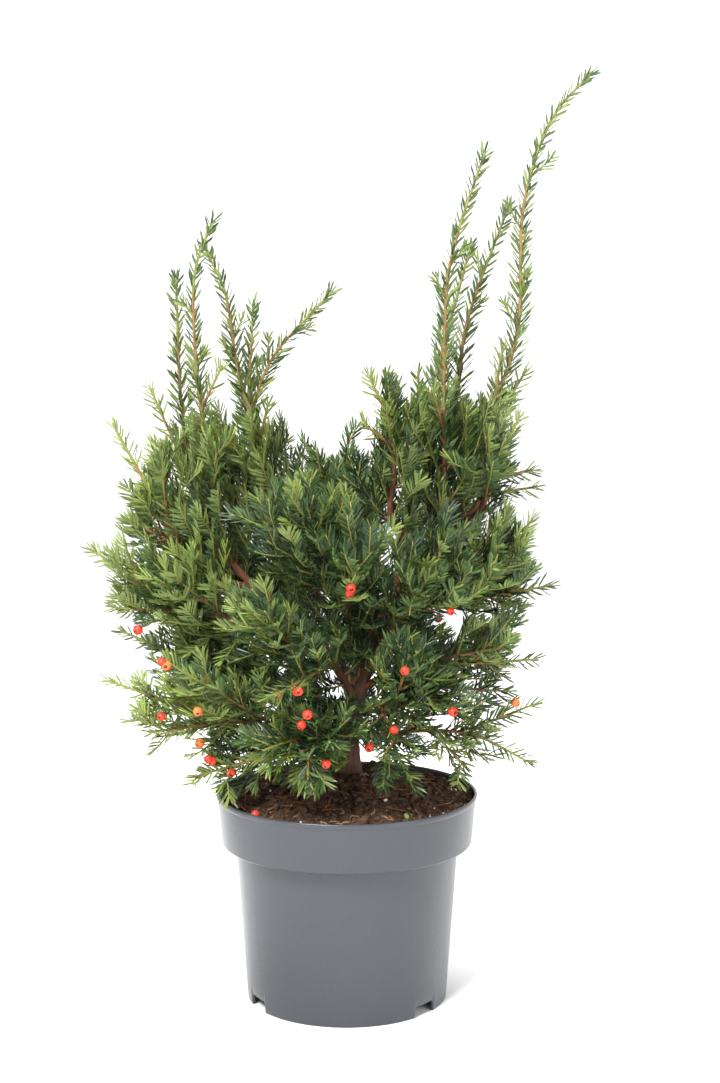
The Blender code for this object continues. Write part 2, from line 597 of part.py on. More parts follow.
def mass_stems(owner, mass, limbs):
    """The stem of a mass and its forks."""
    limb = limbs[mass.bough]
    lead = None
    root = at_share(limb.path, mass.at)
    if mass.at == 1.0:
        lead = limb.heading()
        root = root + lead * CLEARANCE
    path = smooth_path([root, *(np.array(p) * CM for p in (*mass.via, mass.tip))], LEAFY_PITCH, lead)
    radii = np.linspace(STEM_ROOT_RADIUS, STEM_TIP_RADIUS, len(path))
    stems = [Twig(path, radii, owner, mass.whip, lead)]
    for fork in mass.forks:
        ring = int(fork.at * (len(path) - 1))
        start = (path[ring] + path[ring + 1]) / 2
        ends = [np.array(p) * CM for p in (*fork.via, fork.tip)]
        lead = unit(FORK_FOLLOW * unit(path[ring + 1] - path[ring]) + unit(ends[0] - start))
        fork_path = smooth_path([start, *ends], LEAFY_PITCH, lead)
        thick = FORK_SHARE * radii[ring]
        fork_radii = np.linspace(thick, STEM_TIP_RADIUS, len(fork_path))
        stems.append(Twig(fork_path, fork_radii, owner, fork.whip, lead))
    return stems


def spans_of(paths):
    """The straight spans of some paths, as their starts and their ends."""
    return np.vstack([p[:-1] for p in paths]), np.vstack([p[1:] for p in paths])


def distances(points, spans):
    """Distance from each point to each span between two ends."""
    start, end = spans
    run = end - start
    offset = points[:, None, :] - start[None]
    share = np.clip((offset * run).sum(-1) / (run * run).sum(-1), 0, 1)
    return np.linalg.norm(offset - share[..., None] * run, axis=-1)


class Space:
    """Tells which points lie in a mass's own space, clear of limbs, soil and pot."""

    def __init__(self, stems, limbs):
        self.stem_spans = spans_of([stem.path for stem in stems])
        self.stem_owners = self.owners_of(stems)
        self.limb_spans = spans_of([limb.path for limb in limbs.values()])
        self.limb_radii = np.concatenate([limb.radii[:-1] for limb in limbs.values()])

    @staticmethod
    def owners_of(twigs):
        """The owner of each span of some twigs."""
        return np.repeat([t.owner for t in twigs], [len(t.path) - 1 for t in twigs])

    def settle(self, twigs):
        """Takes in every twig, so that needles can be kept to their own."""
        self.twig_spans = spans_of([t.path for t in twigs])
        self.twig_owners = self.owners_of(twigs)
        self.twig_numbers = np.repeat(np.arange(len(twigs)), [len(t.path) - 1 for t in twigs])

    def clear(self, points, thick):
        """Whether a body of this half thickness is clear of limbs, soil and pot at each point."""
        limbs = distances(points, self.limb_spans) - self.limb_radii
        radius = np.hypot(points[:, 0], points[:, 1])
        over_wall = (radius < RIM_RADIUS + SOIL_MARGIN) & (radius > RIM_RADIUS - BAND_WALL - SOIL_MARGIN)
        ground = np.where(over_wall, RIM_HEIGHT, 0.0)
        inside = radius < RIM_RADIUS - BAND_WALL
        ground = np.maximum(ground, np.where(inside, soil_height(points[:, 0], points[:, 1]), 0.0))
        high = points[:, 2] > ground + SOIL_MARGIN + thick
        return high & (limbs.min(1) > LIMB_MARGIN + thick)

    def holds(self, points, owner, thick=0.0):
        """For each point, whether a body of this half thickness may lie there."""
        points = np.atleast_2d(points)
        away = distances(points, self.stem_spans)
        mine = away[:, self.stem_owners == owner].min(1)
        others = away[:, self.stem_owners != owner].min(1)
        apart = (others - mine > SPACE_MARGIN + 2 * thick) & (others > STEM_MARGIN + thick)
        return apart & self.clear(points, thick)

    def holds_needle(self, points, owner, number):
        """For each point, whether the needles of this twig may lie there."""
        away = distances(points, self.twig_spans)
        mine = away[:, self.twig_numbers == number].min(1)
        kin = (self.twig_owners == owner) & (self.twig_numbers != number)
        near = away[:, kin].min(1) if kin.any() else np.full(len(points), np.inf)
        strangers = away[:, self.twig_owners != owner].min(1)
        apart = (near - mine > TWIG_MARGIN) & (strangers - mine > SPACE_MARGIN)
        return apart & (strangers > STEM_MARGIN) & self.holds(points, owner)


def twig_object(name, path, radii, needles, lead=None, turn=0.0, collection=None):
    """A closed three-sided twig that ends in a point.

    needles maps (length of the twig, side of it) to a place: there that side rises to a
    pointed needle. turn twists the twig at each point, in degrees.
    """
    along, side, up = frames(path, lead)
    angles = np.radians((90, 210, 330) + turn * np.arange(len(path))[:, None])
    around = np.cos(angles)[..., None] * side[:, None, :] + np.sin(angles)[..., None] * up[:, None, :]
    vertices = list((path[:, None, :] + radii[:, None, None] * around).reshape(-1, 3))
    faces = [(0, 1, 2)]
    for ring in range(len(path) - 1):
        for k in range(3):
            a, b = 3 * ring + k, 3 * ring + (k + 1) % 3
            c, d = b + 3, a + 3
            place = needles.get((ring, k))
            if place is None:
                faces += [(a, b, c), (a, c, d)]
            else:
                top = len(vertices)
                vertices.append(place)
                faces += [(a, b, top), (b, c, top), (c, d, top), (d, a, top)]
    top = len(vertices)
    vertices.append(path[-1] + along[-1] * TIP_NEEDLE)
    end = 3 * len(path) - 3
    faces += [(end, end + 1, top), (end + 1, end + 2, top), (end + 2, end, top)]
    return add_object(name, vertices, faces, collection)


def whip_stops(twig):
    """Where a twig's lengths end, and which of them carry needles of each kind.

    Up to its whip every length is needled. On it, short needled lengths lie between plain ones.
    """
    run = np.concatenate([[0], np.cumsum(np.linalg.norm(np.diff(twig.path, axis=0), axis=1))])
    stops, leafy, sparse = [0.0], [], []
    switch = twig.whip * run[-1]
    while stops[-1] < run[-1] - 2 * LEAFY_PITCH:
        if stops[-1] < switch:
            leafy.append(len(stops) - 1)
            stops.append(stops[-1] + LEAFY_PITCH)
        else:
            stops.append(stops[-1] + WHIP_GAP)
            sparse.append(len(stops) - 1)
            stops.append(stops[-1] + WHIP_NEEDLE_BASE)
    if twig.whip == 1.0:
        leafy.append(len(stops) - 1)
    stops.append(run[-1])
    path = np.column_stack([np.interp(stops, run, twig.path[:, k]) for k in range(3)])
    return path, np.interp(stops, run, twig.radii), leafy, sparse


def needle_places(twig, number, path, rings, length, lean, turn, space):
    """Where the needles end that a twig's three sides rise to, less those that leave their space.

    A needle leans forward from its side of the twig. One that would leave the space is tried
    again at two thirds of its length. rings lists the lengths of twig that carry needles.
    """
    along, side, up = frames(path, twig.lead)
    keys, bases, aims = [], [], []
    for ring in rings:
        share = ring / (len(path) - 1)
        size = length * (NEEDLE_SHORT + (1 - NEEDLE_SHORT) * math.sin(math.pi * (0.2 + 0.65 * share)))
        for k in range(3):
            angle = math.radians(150 + 120 * k + turn * (ring + 0.5))
            out = math.cos(angle) * side[ring] + math.sin(angle) * up[ring]
            keys.append((ring, k))
            bases.append((path[ring] + path[ring + 1]) / 2)
            aims.append(size * (math.cos(lean) * along[ring] + math.sin(lean) * out))
    if not keys:
        return {}
    bases, aims = np.array(bases), np.array(aims)
    places, left = {}, np.arange(len(keys))
    for scale in (1.0, SECOND_TRY):
        if not len(left):
            break
        reach = [bases[left] + aims[left] * scale * part for part in NEEDLE_TESTS]
        fits = np.all([space.holds_needle(points, twig.owner, number) for points in reach], axis=0)
        for index in left[fits]:
            places[keys[index]] = bases[index] + aims[index] * scale
        left = left[~fits]
    return places


def build_twig(name, twig, number, space, collection=None):
    """Makes a twig with its needles: three rows on a leafy twig, and whorls of three on a whip."""
    path, radii, leafy, sparse = whip_stops(twig)
    bare = BARE_SIDE if twig.side else BARE_START
    run = np.concatenate([[0], np.cumsum(np.linalg.norm(np.diff(path, axis=0), axis=1))])
    leafy = [ring for ring in leafy if run[ring] > bare]
    turn = WHORL_TURN if sparse else 0.0
    lean = math.radians(LEAFY_LEAN)
    places = needle_places(twig, number, path, leafy, LEAFY_NEEDLE, lean, turn, space)
    lean = math.radians(WHIP_LEAN)
    places |= needle_places(twig, number, path, sparse, WHIP_NEEDLE, lean, turn, space)
    return twig_object(name, path, radii, places, twig.lead, turn, collection)


def side_twigs(stem, length, others, space, draw):
    """The side twigs that leave a stem by turns round it, shorter towards its tip.

    others are the mass's twigs so far, from which a new one keeps apart.
    """
    along, side, up = frames(stem.path)
    total = LEAFY_PITCH * (len(stem.path) - 1)
    place = FIRST_SIDE + draw.uniform(0, 0.4) * SIDE_SPACING
    turn = draw.uniform(0, 360)
    grown = []
    while place < total * min(stem.whip, LAST_SIDE):
        ring = min(int(place / LEAFY_PITCH), len(stem.path) - 2)
        angle = math.radians(turn)
        out = math.cos(angle) * side[ring] + math.sin(angle) * up[ring]
        lean = math.radians(SIDE_ANGLE + draw.uniform(-SIDE_ANGLE_SPREAD, SIDE_ANGLE_SPREAD))
        heading = math.cos(lean) * along[ring] + math.sin(lean) * out
        reach = length * (1 - SIDE_SHORTENING * place / total) * draw.uniform(*SIDE_REACH_SPREAD)
        points = [(stem.path[ring] + stem.path[ring + 1]) / 2]
        for _ in range(round(reach / LEAFY_PITCH)):
            heading = unit(heading + SIDE_FOLLOW * along[ring] + SIDE_RISE * UP)
            points.append(points[-1] + heading * LEAFY_PITCH)
        beyond = np.array(points[2:] + [points[-1] + heading * TIP_NEEDLE])
        held = space.holds(beyond, stem.owner, SIDE_ROOT_RADIUS)
        spans = spans_of([t.path for t in (*others, *grown)])
        held &= distances(beyond, spans).min(1) > TWIG_APART
        count = len(points) if held.all() else int(np.argmin(held)) + 1
        if count > SHORTEST_SIDE:
            path = np.array(points[:count])
            radii = np.linspace(FORK_SHARE * stem.radii[ring], SIDE_TIP_RADIUS, count)
            grown.append(Twig(path, radii, stem.owner, side=True))
        place += SIDE_SPACING * draw.uniform(*SIDE_SPACING_SPREAD)
        turn += GOLDEN_ANGLE
    return grown


def add_berry(place, twig_points, space, owner, collection):
    """A berry on a short stalk from the nearest point of its mass's twigs."""
    nearest = twig_points[np.argmin(np.linalg.norm(twig_points - place, axis=1))]
    hang = place - nearest
    place = nearest + unit(hang) * min(np.linalg.norm(hang), BERRY_REACH)
    if not space.holds(place, owner, BERRY_RADIUS).all():
        place = nearest + (place - nearest) * 0.5
    if not space.holds(place, owner, BERRY_RADIUS).all():
        return
    stalk = unit(place - nearest)
    reach = np.linalg.norm(place - nearest)
    stops = (0.0, reach - 0.9 * BERRY_RADIUS, reach, reach + 0.9 * BERRY_RADIUS)
    radii = np.array((BERRY_STALK_RADIUS, 1.2 * BERRY_STALK_RADIUS, 1.1 * BERRY_RADIUS, 0.5 * BERRY_RADIUS))
    path = nearest + np.outer(stops, stalk)
    tube("berry", path, radii, BERRY_SIDES, collection=collection)


def grow_twigs(limbs):
    """Grows every mass's stems, forks and side twigs, and the space that they share out."""
    stems_of = [mass_stems(owner, mass, limbs) for owner, mass in enumerate(MASSES)]
    space = Space([stem for stems in stems_of for stem in stems], limbs)
    twigs = []
    for owner, mass in enumerate(MASSES):
        draw = random.Random(SEED + owner)
        grown = list(stems_of[owner])
        for stem in stems_of[owner]:
            grown += side_twigs(stem, mass.side * CM, grown, space, draw)
        twigs += grown
    space.settle(twigs)
    return twigs, space


def fuse(made, pieces):
    """Joins a collection's pieces to an object by one Boolean union, and removes them."""
    union = made.modifiers.new("fused", "BOOLEAN")
    union.operation = "UNION"
    union.solver = "MANIFOLD"
    union.operand_type = "COLLECTION"
    union.collection = pieces
    apply_modifiers(made)
    for piece in list(pieces.objects):
        bpy.data.objects.remove(piece)
    bpy.data.collections.remove(pieces)


def build_masses(limbs):
    """Makes each mass: stem, forks, side twigs, needles and berries joined in one solid."""
    twigs, space = grow_twigs(limbs)
    berries = np.array(BERRIES) * CM
    berry_owners = space.stem_owners[distances(berries, space.stem_spans).argmin(1)]
    for owner, mass in enumerate(MASSES):
        pieces = bpy.data.collections.new(mass.name + "_pieces")
        bpy.context.scene.collection.children.link(pieces)
        mine = [(number, twig) for number, twig in enumerate(twigs) if twig.owner == owner]
        made = build_twig(mass.name, mine[0][1], mine[0][0], space)
        for number, twig in mine[1:]:
            build_twig("twig", twig, number, space, pieces)
        twig_points = np.vstack([twig.path[2:] for _, twig in mine])
        for place in berries[berry_owners == owner]:
            add_berry(place, twig_points, space, owner, pieces)
        fuse(made, pieces)
        if mass.at < 1.0:
            cut(made, limbs[mass.bough].fattened(), "MANIFOLD")
        outer_shell(made)
        finish(made, mass.name, (0.055, 0.105, 0.035), 0.55, smooth=False)


def main():
    """Clears the scene and builds the potted plant."""
    for thing in list(bpy.data.objects):
        bpy.data.objects.remove(thing)
    build_pot()
    build_soil()
    build_masses(build_limbs())


main()
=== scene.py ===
"""An English yew in a round nursery pot: the looks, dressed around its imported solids.

The plant grows here by the rule of its solids and from the same named places: limbs, then the
stems of each mass of foliage, then side shoots, and from these the finer shoots and the needles
that the solids only stand for. Shoots keep to their own mass's space and clear of limbs and soil.

Metres, +Z up, origin on the floor under the middle of the pot. The front is towards -Y.
Places in the tables are in centimetres and limb radii in millimetres.
"""

from __future__ import annotations

import json
import logging
import math
from dataclasses import dataclass, field, replace
from enum import Enum
from typing import NamedTuple

import bpy
import numpy as np
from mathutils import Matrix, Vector

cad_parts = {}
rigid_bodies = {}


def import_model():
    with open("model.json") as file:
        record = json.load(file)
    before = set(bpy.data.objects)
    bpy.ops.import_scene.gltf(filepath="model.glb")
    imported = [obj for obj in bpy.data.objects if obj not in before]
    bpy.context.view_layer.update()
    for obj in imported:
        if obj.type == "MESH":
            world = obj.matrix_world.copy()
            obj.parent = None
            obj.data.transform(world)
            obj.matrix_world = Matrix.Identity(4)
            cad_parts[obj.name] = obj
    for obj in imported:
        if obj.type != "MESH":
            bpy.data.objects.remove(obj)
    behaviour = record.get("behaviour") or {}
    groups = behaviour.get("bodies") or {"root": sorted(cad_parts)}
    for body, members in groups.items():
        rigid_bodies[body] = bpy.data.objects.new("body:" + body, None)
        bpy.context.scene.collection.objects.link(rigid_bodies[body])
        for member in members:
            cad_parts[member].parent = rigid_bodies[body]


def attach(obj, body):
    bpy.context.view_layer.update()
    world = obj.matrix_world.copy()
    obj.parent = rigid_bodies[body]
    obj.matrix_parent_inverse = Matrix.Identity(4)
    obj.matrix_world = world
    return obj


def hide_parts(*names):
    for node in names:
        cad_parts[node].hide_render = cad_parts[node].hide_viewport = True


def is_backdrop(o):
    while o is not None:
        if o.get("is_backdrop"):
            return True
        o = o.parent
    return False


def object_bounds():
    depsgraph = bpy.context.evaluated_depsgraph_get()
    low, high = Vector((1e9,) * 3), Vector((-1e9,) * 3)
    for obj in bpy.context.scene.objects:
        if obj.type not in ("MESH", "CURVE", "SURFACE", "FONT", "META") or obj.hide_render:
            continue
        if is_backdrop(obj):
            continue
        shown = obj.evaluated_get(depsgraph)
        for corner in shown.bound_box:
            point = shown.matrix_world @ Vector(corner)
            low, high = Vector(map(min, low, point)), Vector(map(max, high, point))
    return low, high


LOG = logging.getLogger("yew")
BODY = "root"
CM = 0.01
MM = 0.001
UP = np.array((0.0, 0.0, 1.0))
GOLDEN = math.radians(137.5)  # the turn from one needle or shoot to the next
SEED = 41
SPAN_POINTS = 24  # of a smooth path, before they are spaced evenly
Colour = tuple[float, float, float]
Corners = tuple[np.ndarray, np.ndarray]

# The pot and its fill, as in the solids.
RIM_RADIUS = 0.140
RIM_HEIGHT = 0.224
BAND_WALL = 3 * MM
SOIL_EDGE = 0.2170
SOIL_TOP = 0.2450
MOUND_SPREAD = 0.062
SOIL_LUMP = 0.0022
SOIL_FLAT = 0.020


def unit(vectors: np.ndarray) -> np.ndarray:
    """The vectors at length one."""
    vectors = np.asarray(vectors, float)
    return vectors / np.maximum(np.linalg.norm(vectors, axis=-1, keepdims=True), 1e-12)


def run_of(path: np.ndarray) -> np.ndarray:
    """The distance along a path at each of its points."""
    return np.concatenate([[0.0], np.cumsum(np.linalg.norm(np.diff(path, axis=0), axis=1))])


def smooth_path(points: list, step: float, lead: np.ndarray | None = None) -> np.ndarray:
    """Even points on the smooth curve through the given ones.

    Each span is the Catmull-Rom cubic of its two ends and their neighbours. A mirrored point
    stands before the first one and after the last.

    Args:
        points: places that the curve passes through.
        step: rough distance between the even points.
        lead: direction in which the curve sets out, if it carries on from another.

    Returns:
        The points, an array of rows x, y, z.
    """
    points = np.asarray(points, float)
    before = 2 * points[0] - points[1]
    if lead is not None:
        before = points[1] - 2 * lead * np.linalg.norm(points[1] - points[0])
    ends = np.vstack([before, points, 2 * points[-1] - points[-2]])
    t = np.linspace(0, 1, SPAN_POINTS, endpoint=False)[:, None]
    spans = [
        0.5 * (2 * b + (c - a) * t + (2 * a - 5 * b + 4 * c - d) * t**2 + (3 * b - a - 3 * c + d) * t**3)
        for a, b, c, d in zip(ends, ends[1:], ends[2:], ends[3:])
    ]
    fine = np.vstack([*spans, points[-1:]])
    run = run_of(fine)
    even = np.linspace(0, run[-1], max(3, round(run[-1] / step) + 1))
    return along_path(fine, run, even)


def along_path(path: np.ndarray, run: np.ndarray, stops: np.ndarray) -> np.ndarray:
    """The points of a path at distances along it, straight between its own points."""
    return np.column_stack([np.interp(stops, run, path[:, k]) for k in range(3)])


class Curve(NamedTuple):
    """A value that runs straight between given ones and stays level beyond them."""

    places: tuple[float, ...]
    values: tuple[float, ...]

    def at(self, place: float | np.ndarray) -> float | np.ndarray:
        """The value at a place, or at each of several."""
        return np.interp(place, self.places, self.values)


def frames(path: np.ndarray, lead: np.ndarray | None = None) -> tuple[np.ndarray, np.ndarray, np.ndarray]:
    """Directions along a path, to its side and up from it, at each point.

    The side is square to the direction and to the world axis that the path crosses most.

    Args:
        path: points of the path.
        lead: direction at the first point, if the path carries on from another.

    Returns:
        Three arrays of unit vectors.
    """
    along = unit(np.gradient(path, axis=0))
    if lead is not None:
        along[0] = lead
    across = np.eye(3)[np.argmin(np.abs(along).max(axis=0))]
    side = unit(np.cross(along, across))
    return along, side, np.cross(along, side)


def round_and_along(run: np.ndarray, size: float, sides: int) -> np.ndarray:
    """Places in the grain of a limb: cosine and sine round it times its size, and the run.

    Args:
        run: distance along the limb of each ring.
        size: the limb's radius, taken as even.
        sides: points in each ring.

    Returns:
        One row for each ring and side.
    """
    angles = 2 * np.pi * np.arange(sides) / sides
    place = np.empty((len(run), sides, 3))
    place[..., 0], place[..., 1], place[..., 2] = size * np.cos(angles), size * np.sin(angles), run[:, None]
    return place.reshape(-1, 3)


def lattice_noise(points: np.ndarray, size: float, seed: float) -> np.ndarray:
    """Smooth noise from -1 to 1.

    Each corner of a cubic lattice has a random value, the fraction of a large sine of its three
    whole numbers, and a point takes the mean of its eight corners by the smooth step of its place.

    Args:
        points: array of rows x, y, z.
        size: the lattice's spacing.
        seed: shifts the lattice.

    Returns:
        One value for each point.
    """
    sine_of, gain = np.array((127.1, 311.7, 74.7)), 43758.5453
    scaled = points / size + seed
    corner = np.floor(scaled)
    share = scaled - corner
    share = share * share * (3 - 2 * share)
    total = np.zeros(len(points))
    for step in np.ndindex(2, 2, 2):
        whole = corner + step
        wave = np.sin(whole @ sine_of) * gain
        weight = np.prod(np.where(step, share, 1 - share), axis=1)
        total += weight * (wave - np.floor(wave))
    return 2 * total - 1


class Patch(NamedTuple):
    """Faces of one surface, rows of point numbers, with a material slot for all or for each."""

    faces: np.ndarray
    slots: int | np.ndarray = 0


class Surface:
    """Gathers the points and faces of one piece and puts them into one mesh."""

    def __init__(self) -> None:
        """An empty surface."""
        self.points: list[np.ndarray] = []
        self.patches: list[Patch] = []
        self.grain: list[np.ndarray] = []
        self.count = 0

    def add(self, points: np.ndarray, *patches: Patch, grain: np.ndarray | None = None) -> None:
        """Adds points and the faces among them.

        Args:
            points: array of rows x, y, z.
            patches: faces that number these points from nought.
            grain: where each point lies in the pattern of its material, if that follows the shape.
        """
        self.points.append(points.reshape(-1, 3))
        for faces, slots in patches:
            numbers = faces.reshape(-1, faces.shape[-1])
            self.patches.append(Patch(numbers + self.count, np.broadcast_to(slots, len(numbers))))
        if grain is not None:
            self.grain.append(grain.reshape(-1, 3))
        self.count += len(self.points[-1])

    def add_rings(self, rings: np.ndarray, start: np.ndarray | tuple, end: np.ndarray | tuple,
                  slots: int | np.ndarray = 0, grain: np.ndarray | None = None) -> None:
        """Adds the skin over a row of closed rings, with a fan over each end.

        Args:
            rings: their points, an array of rings, sides and x, y, z.
            start: the middle of the fan that closes the first ring.
            end: the middle of the fan that closes the last.
            slots: material slot of the whole, or one for each length between rings.
            grain: where the points and both middles lie in the material's pattern.
        """
        count, sides = rings.shape[:2]
        last = count * sides
        lengths = np.broadcast_to(slots, count - 1)
        self.add(np.vstack([rings.reshape(-1, 3), start, end]),
                 Patch(grid_faces(count, sides), np.repeat(lengths, sides)),
                 Patch(fan_faces(last, np.arange(sides)[::-1]), lengths[0]),
                 Patch(fan_faces(last + 1, np.arange(last - sides, last)), lengths[-1]), grain=grain)

    def add_copies(self, points: np.ndarray, *parts: Patch) -> None:
        """Adds many copies of a small shape.

        Args:
            points: every copy's points, an array of copies, points and x, y, z.
            parts: faces of one copy, with their slot in all copies or in each.
        """
        first = points.shape[1] * np.arange(len(points))[:, None, None]
        self.add(points, *(Patch((faces + first).reshape(-1, faces.shape[1]),
                                 np.repeat(np.broadcast_to(slots, len(points)), len(faces)))
                           for faces, slots in parts))

    def triangles(self) -> int:
        """How many triangles the faces make."""
        return sum(len(patch.faces) * (patch.faces.shape[1] - 2) for patch in self.patches)

    def build(self, name: str, finishes: list[Finish], slot: str, *nodes: str, smooth: bool = True) -> None:
        """Makes the piece, at the origin and riding on the part's one body.

        Args:
            name: the piece's name.
            finishes: those of its material slots.
            slot: the record's slot of its finish; not used.
            nodes: the solids that it stands for.
            smooth: whether its faces are shaded as one curved surface.
        """
        points = np.concatenate(self.points).astype(np.float32)
        corners = np.concatenate([patch.faces.ravel() for patch in self.patches]).astype(np.int32)
        sizes = np.concatenate([np.full(len(p.faces), p.faces.shape[1]) for p in self.patches])
        starts = np.concatenate([[0], np.cumsum(sizes)[:-1]]).astype(np.int32)
        slots = np.concatenate([patch.slots for patch in self.patches]).astype(np.int32)
        mesh = bpy.data.meshes.new(name)
        mesh.vertices.add(len(points))
        mesh.vertices.foreach_set("co", points.ravel())
        mesh.loops.add(len(corners))
        mesh.loops.foreach_set("vertex_index", corners)
        mesh.polygons.add(len(starts))
        mesh.polygons.foreach_set("loop_start", starts)
        mesh.polygons.foreach_set("material_index", slots)
        mesh.polygons.foreach_set("use_smooth", np.full(len(starts), smooth))
        mesh.update(calc_edges=True)
        if self.grain:
            layer = mesh.attributes.new("grain", "FLOAT_VECTOR", "POINT")
            layer.data.foreach_set("vector", np.concatenate(self.grain).astype(np.float32).ravel())
        mesh.validate()
        for finish in finishes:
            mesh.materials.append(finish.material())
        made = in_scene(name, mesh)
        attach(made, BODY)
        if nodes:
            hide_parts(*nodes)
        LOG.info("%s: %d triangles", name, self.triangles())


def in_scene(name: str, data: bpy.types.ID) -> bpy.types.Object:
    """A new object of a mesh, camera or light, linked to the scene.

    Args:
        name: the object's name.
        data: its mesh, camera or light.

    Returns:
        The object.
    """
    made = bpy.data.objects.new(name, data)
    bpy.context.scene.collection.objects.link(made)
    return made


def grid_faces(rows: int, columns: int) -> np.ndarray:
    """The quads among a grid of points, with the last column joined to the first.

    Args:
        rows: rows of points.
        columns: points in each row.

    Returns:
        The four points of each quad, by row and column.
    """
    row = np.arange(rows - 1)[:, None] * columns
    column = np.arange(columns)[None, :]
    beside = (column + 1) % columns
    return np.stack([row + column, row + beside, row + beside + columns, row + column + columns], -1)


def fan_faces(centre: int, ring: np.ndarray) -> np.ndarray:
    """The triangles from a centre point to a closed ring of points."""
    return np.column_stack([np.full(len(ring), centre), ring, np.roll(ring, -1)])


def add_tube(surface: Surface, path: np.ndarray, radii: np.ndarray, sides: int,
             slots: int | np.ndarray = 0, lead: np.ndarray | None = None,
             relief: np.ndarray | None = None) -> None:
    """Carries a round profile along a path and closes both ends with a fan.

    A point is the path's point plus the radius, with the relief added, times the cosine of its
    angle to the side and the sine upwards. A tube with relief carries its place in the grain.

    Args:
        surface: takes the tube.
        path: its centre line.
        radii: its radius at each point of the path.
        sides: points in each ring.
        slots: material slot of the tube, or one for each length of it.
        lead: direction at the first point.
        relief: added to the radius, one value for each ring and side.
    """
    along, side, up = frames(path, lead)
    angles = 2 * np.pi * np.arange(sides) / sides
    spread = radii[:, None] + (0 if relief is None else relief)
    ring = np.cos(angles)[None, :, None] * side[:, None] + np.sin(angles)[None, :, None] * up[:, None]
    grain = None
    if relief is not None:
        run = run_of(path)
        grain = np.vstack([round_and_along(run, radii.mean(), sides), (0, 0, 0), (0, 0, run[-1])])
    surface.add_rings(path[:, None] + spread[..., None] * ring, path[0], path[-1] + along[-1] * radii[-1],
                      slots, grain)


@dataclass(frozen=True)
class Finish:
    """A finish of one even colour."""

    name: str
    colour: Colour
    roughness: float = 0.5
    specular: float = 0.5
    subsurface: float = 0.0
    glow: float = 0.0

    def material(self) -> bpy.types.Material:
        """The finish's material, made once.

        Returns:
            The material.
        """
        found = bpy.data.materials.get(self.name)
        if found:
            return found
        made = bpy.data.materials.new(self.name)
        made.use_nodes = True
        made.diffuse_color = (*self.colour, 1.0)
        self.dress(made.node_tree.nodes["Principled BSDF"], made.node_tree)
        return made

    def dress(self, shader: bpy.types.Node, tree: bpy.types.NodeTree) -> None:
        """Sets the shader, whose sockets hold all that is even.

        Args:
            shader: the material's shader.
            tree: its nodes, which an even finish adds nothing to.
        """
        fill(shader, {"Base Color": (*self.colour, 1.0), "Roughness": self.roughness,
                      "Specular IOR Level": self.specular, "Subsurface Weight": self.subsurface,
                      "Subsurface Scale": 2 * MM})
        if self.glow:
            fill(shader, {"Emission Color": (1.0, 1.0, 1.0, 1.0), "Emission Strength": self.glow})


def fill(node: bpy.types.Node, values: dict) -> bpy.types.Node:
    """Sets a node's input sockets by name and gives the node back.

    Args:
        node: the node.
        values: the value of each socket, by its name.

    Returns:
        The node.
    """
    for socket, value in values.items():
        node.inputs[socket].default_value = value
    return node


@dataclass(frozen=True)
class MottledFinish(Finish):
    """A finish whose colour, gloss and fine relief vary by noise at two scales.

    The colour runs from dark to its own by coarse noise, and a second noise scatters flecks of a
    third colour. The relief is a bump of both.
    """

    dark: Colour = (0.0, 0.0, 0.0)
    fleck: Colour = (1.0, 1.0, 1.0)
    coarse: float = 100.0  # noise scales, per metre
    fine: float = 600.0
    stretch: float = 1.0  # below one, the pattern is drawn out along its third axis
    fleck_from: float = 0.62  # the noise value above which flecks begin
    fleck_to: float = 0.72
    smooth: float = 0.5  # the lowest roughness, and roughness is the highest
    bump: float = 0.3
    depth: float = 0.4 * MM
    follows_grain: bool = False

    def dress(self, shader: bpy.types.Node, tree: bpy.types.NodeTree) -> None:
        """Sets the shader and links its pattern.

        Args:
            shader: the material's shader.
            tree: takes the pattern's nodes.
        """
        add, link = tree.nodes.new, tree.links.new
        fill(shader, {"Specular IOR Level": self.specular})
        if self.follows_grain:
            grain = add("ShaderNodeAttribute")
            grain.attribute_name = "grain"
            place = grain.outputs["Vector"]
        else:
            place = add("ShaderNodeTexCoord").outputs["Object"]
        mapping = fill(add("ShaderNodeMapping"), {"Scale": (1.0, 1.0, self.stretch)})
        link(place, mapping.inputs["Vector"])
        noises = []
        for scale in (self.coarse, self.fine):
            noise = fill(add("ShaderNodeTexNoise"), {"Scale": scale, "Detail": 5.0, "Roughness": 0.62})
            link(mapping.outputs["Vector"], noise.inputs["Vector"])
            noises.append(noise.outputs["Fac"])
        ground = add("ShaderNodeValToRGB")
        ramp = ground.color_ramp.elements
        for element, position, colour in zip(ramp, (0.35, 0.66), (self.dark, self.colour)):
            element.position, element.color = position, (*colour, 1.0)
        link(noises[0], ground.inputs["Fac"])
        spread = fill(add("ShaderNodeMapRange"), {"From Min": self.fleck_from, "From Max": self.fleck_to})
        link(noises[1], spread.inputs["Value"])
        flecks = add("ShaderNodeMix")
        flecks.data_type = "RGBA"
        fill(flecks, {"B": (*self.fleck, 1.0)})
        link(spread.outputs["Result"], flecks.inputs["Factor"])
        link(ground.outputs["Color"], flecks.inputs["A"])
        link(flecks.outputs["Result"], shader.inputs["Base Color"])
        gloss = fill(add("ShaderNodeMapRange"), {"To Min": self.smooth, "To Max": self.roughness})
        link(noises[0], gloss.inputs["Value"])
        link(gloss.outputs["Result"], shader.inputs["Roughness"])
        if self.bump:
            both = add("ShaderNodeMath")
            link(noises[0], both.inputs[0])
            link(noises[1], both.inputs[1])
            bump = fill(add("ShaderNodeBump"), {"Strength": self.bump, "Distance": self.depth})
            link(both.outputs["Value"], bump.inputs["Height"])
            link(bump.outputs["Normal"], shader.inputs["Normal"])


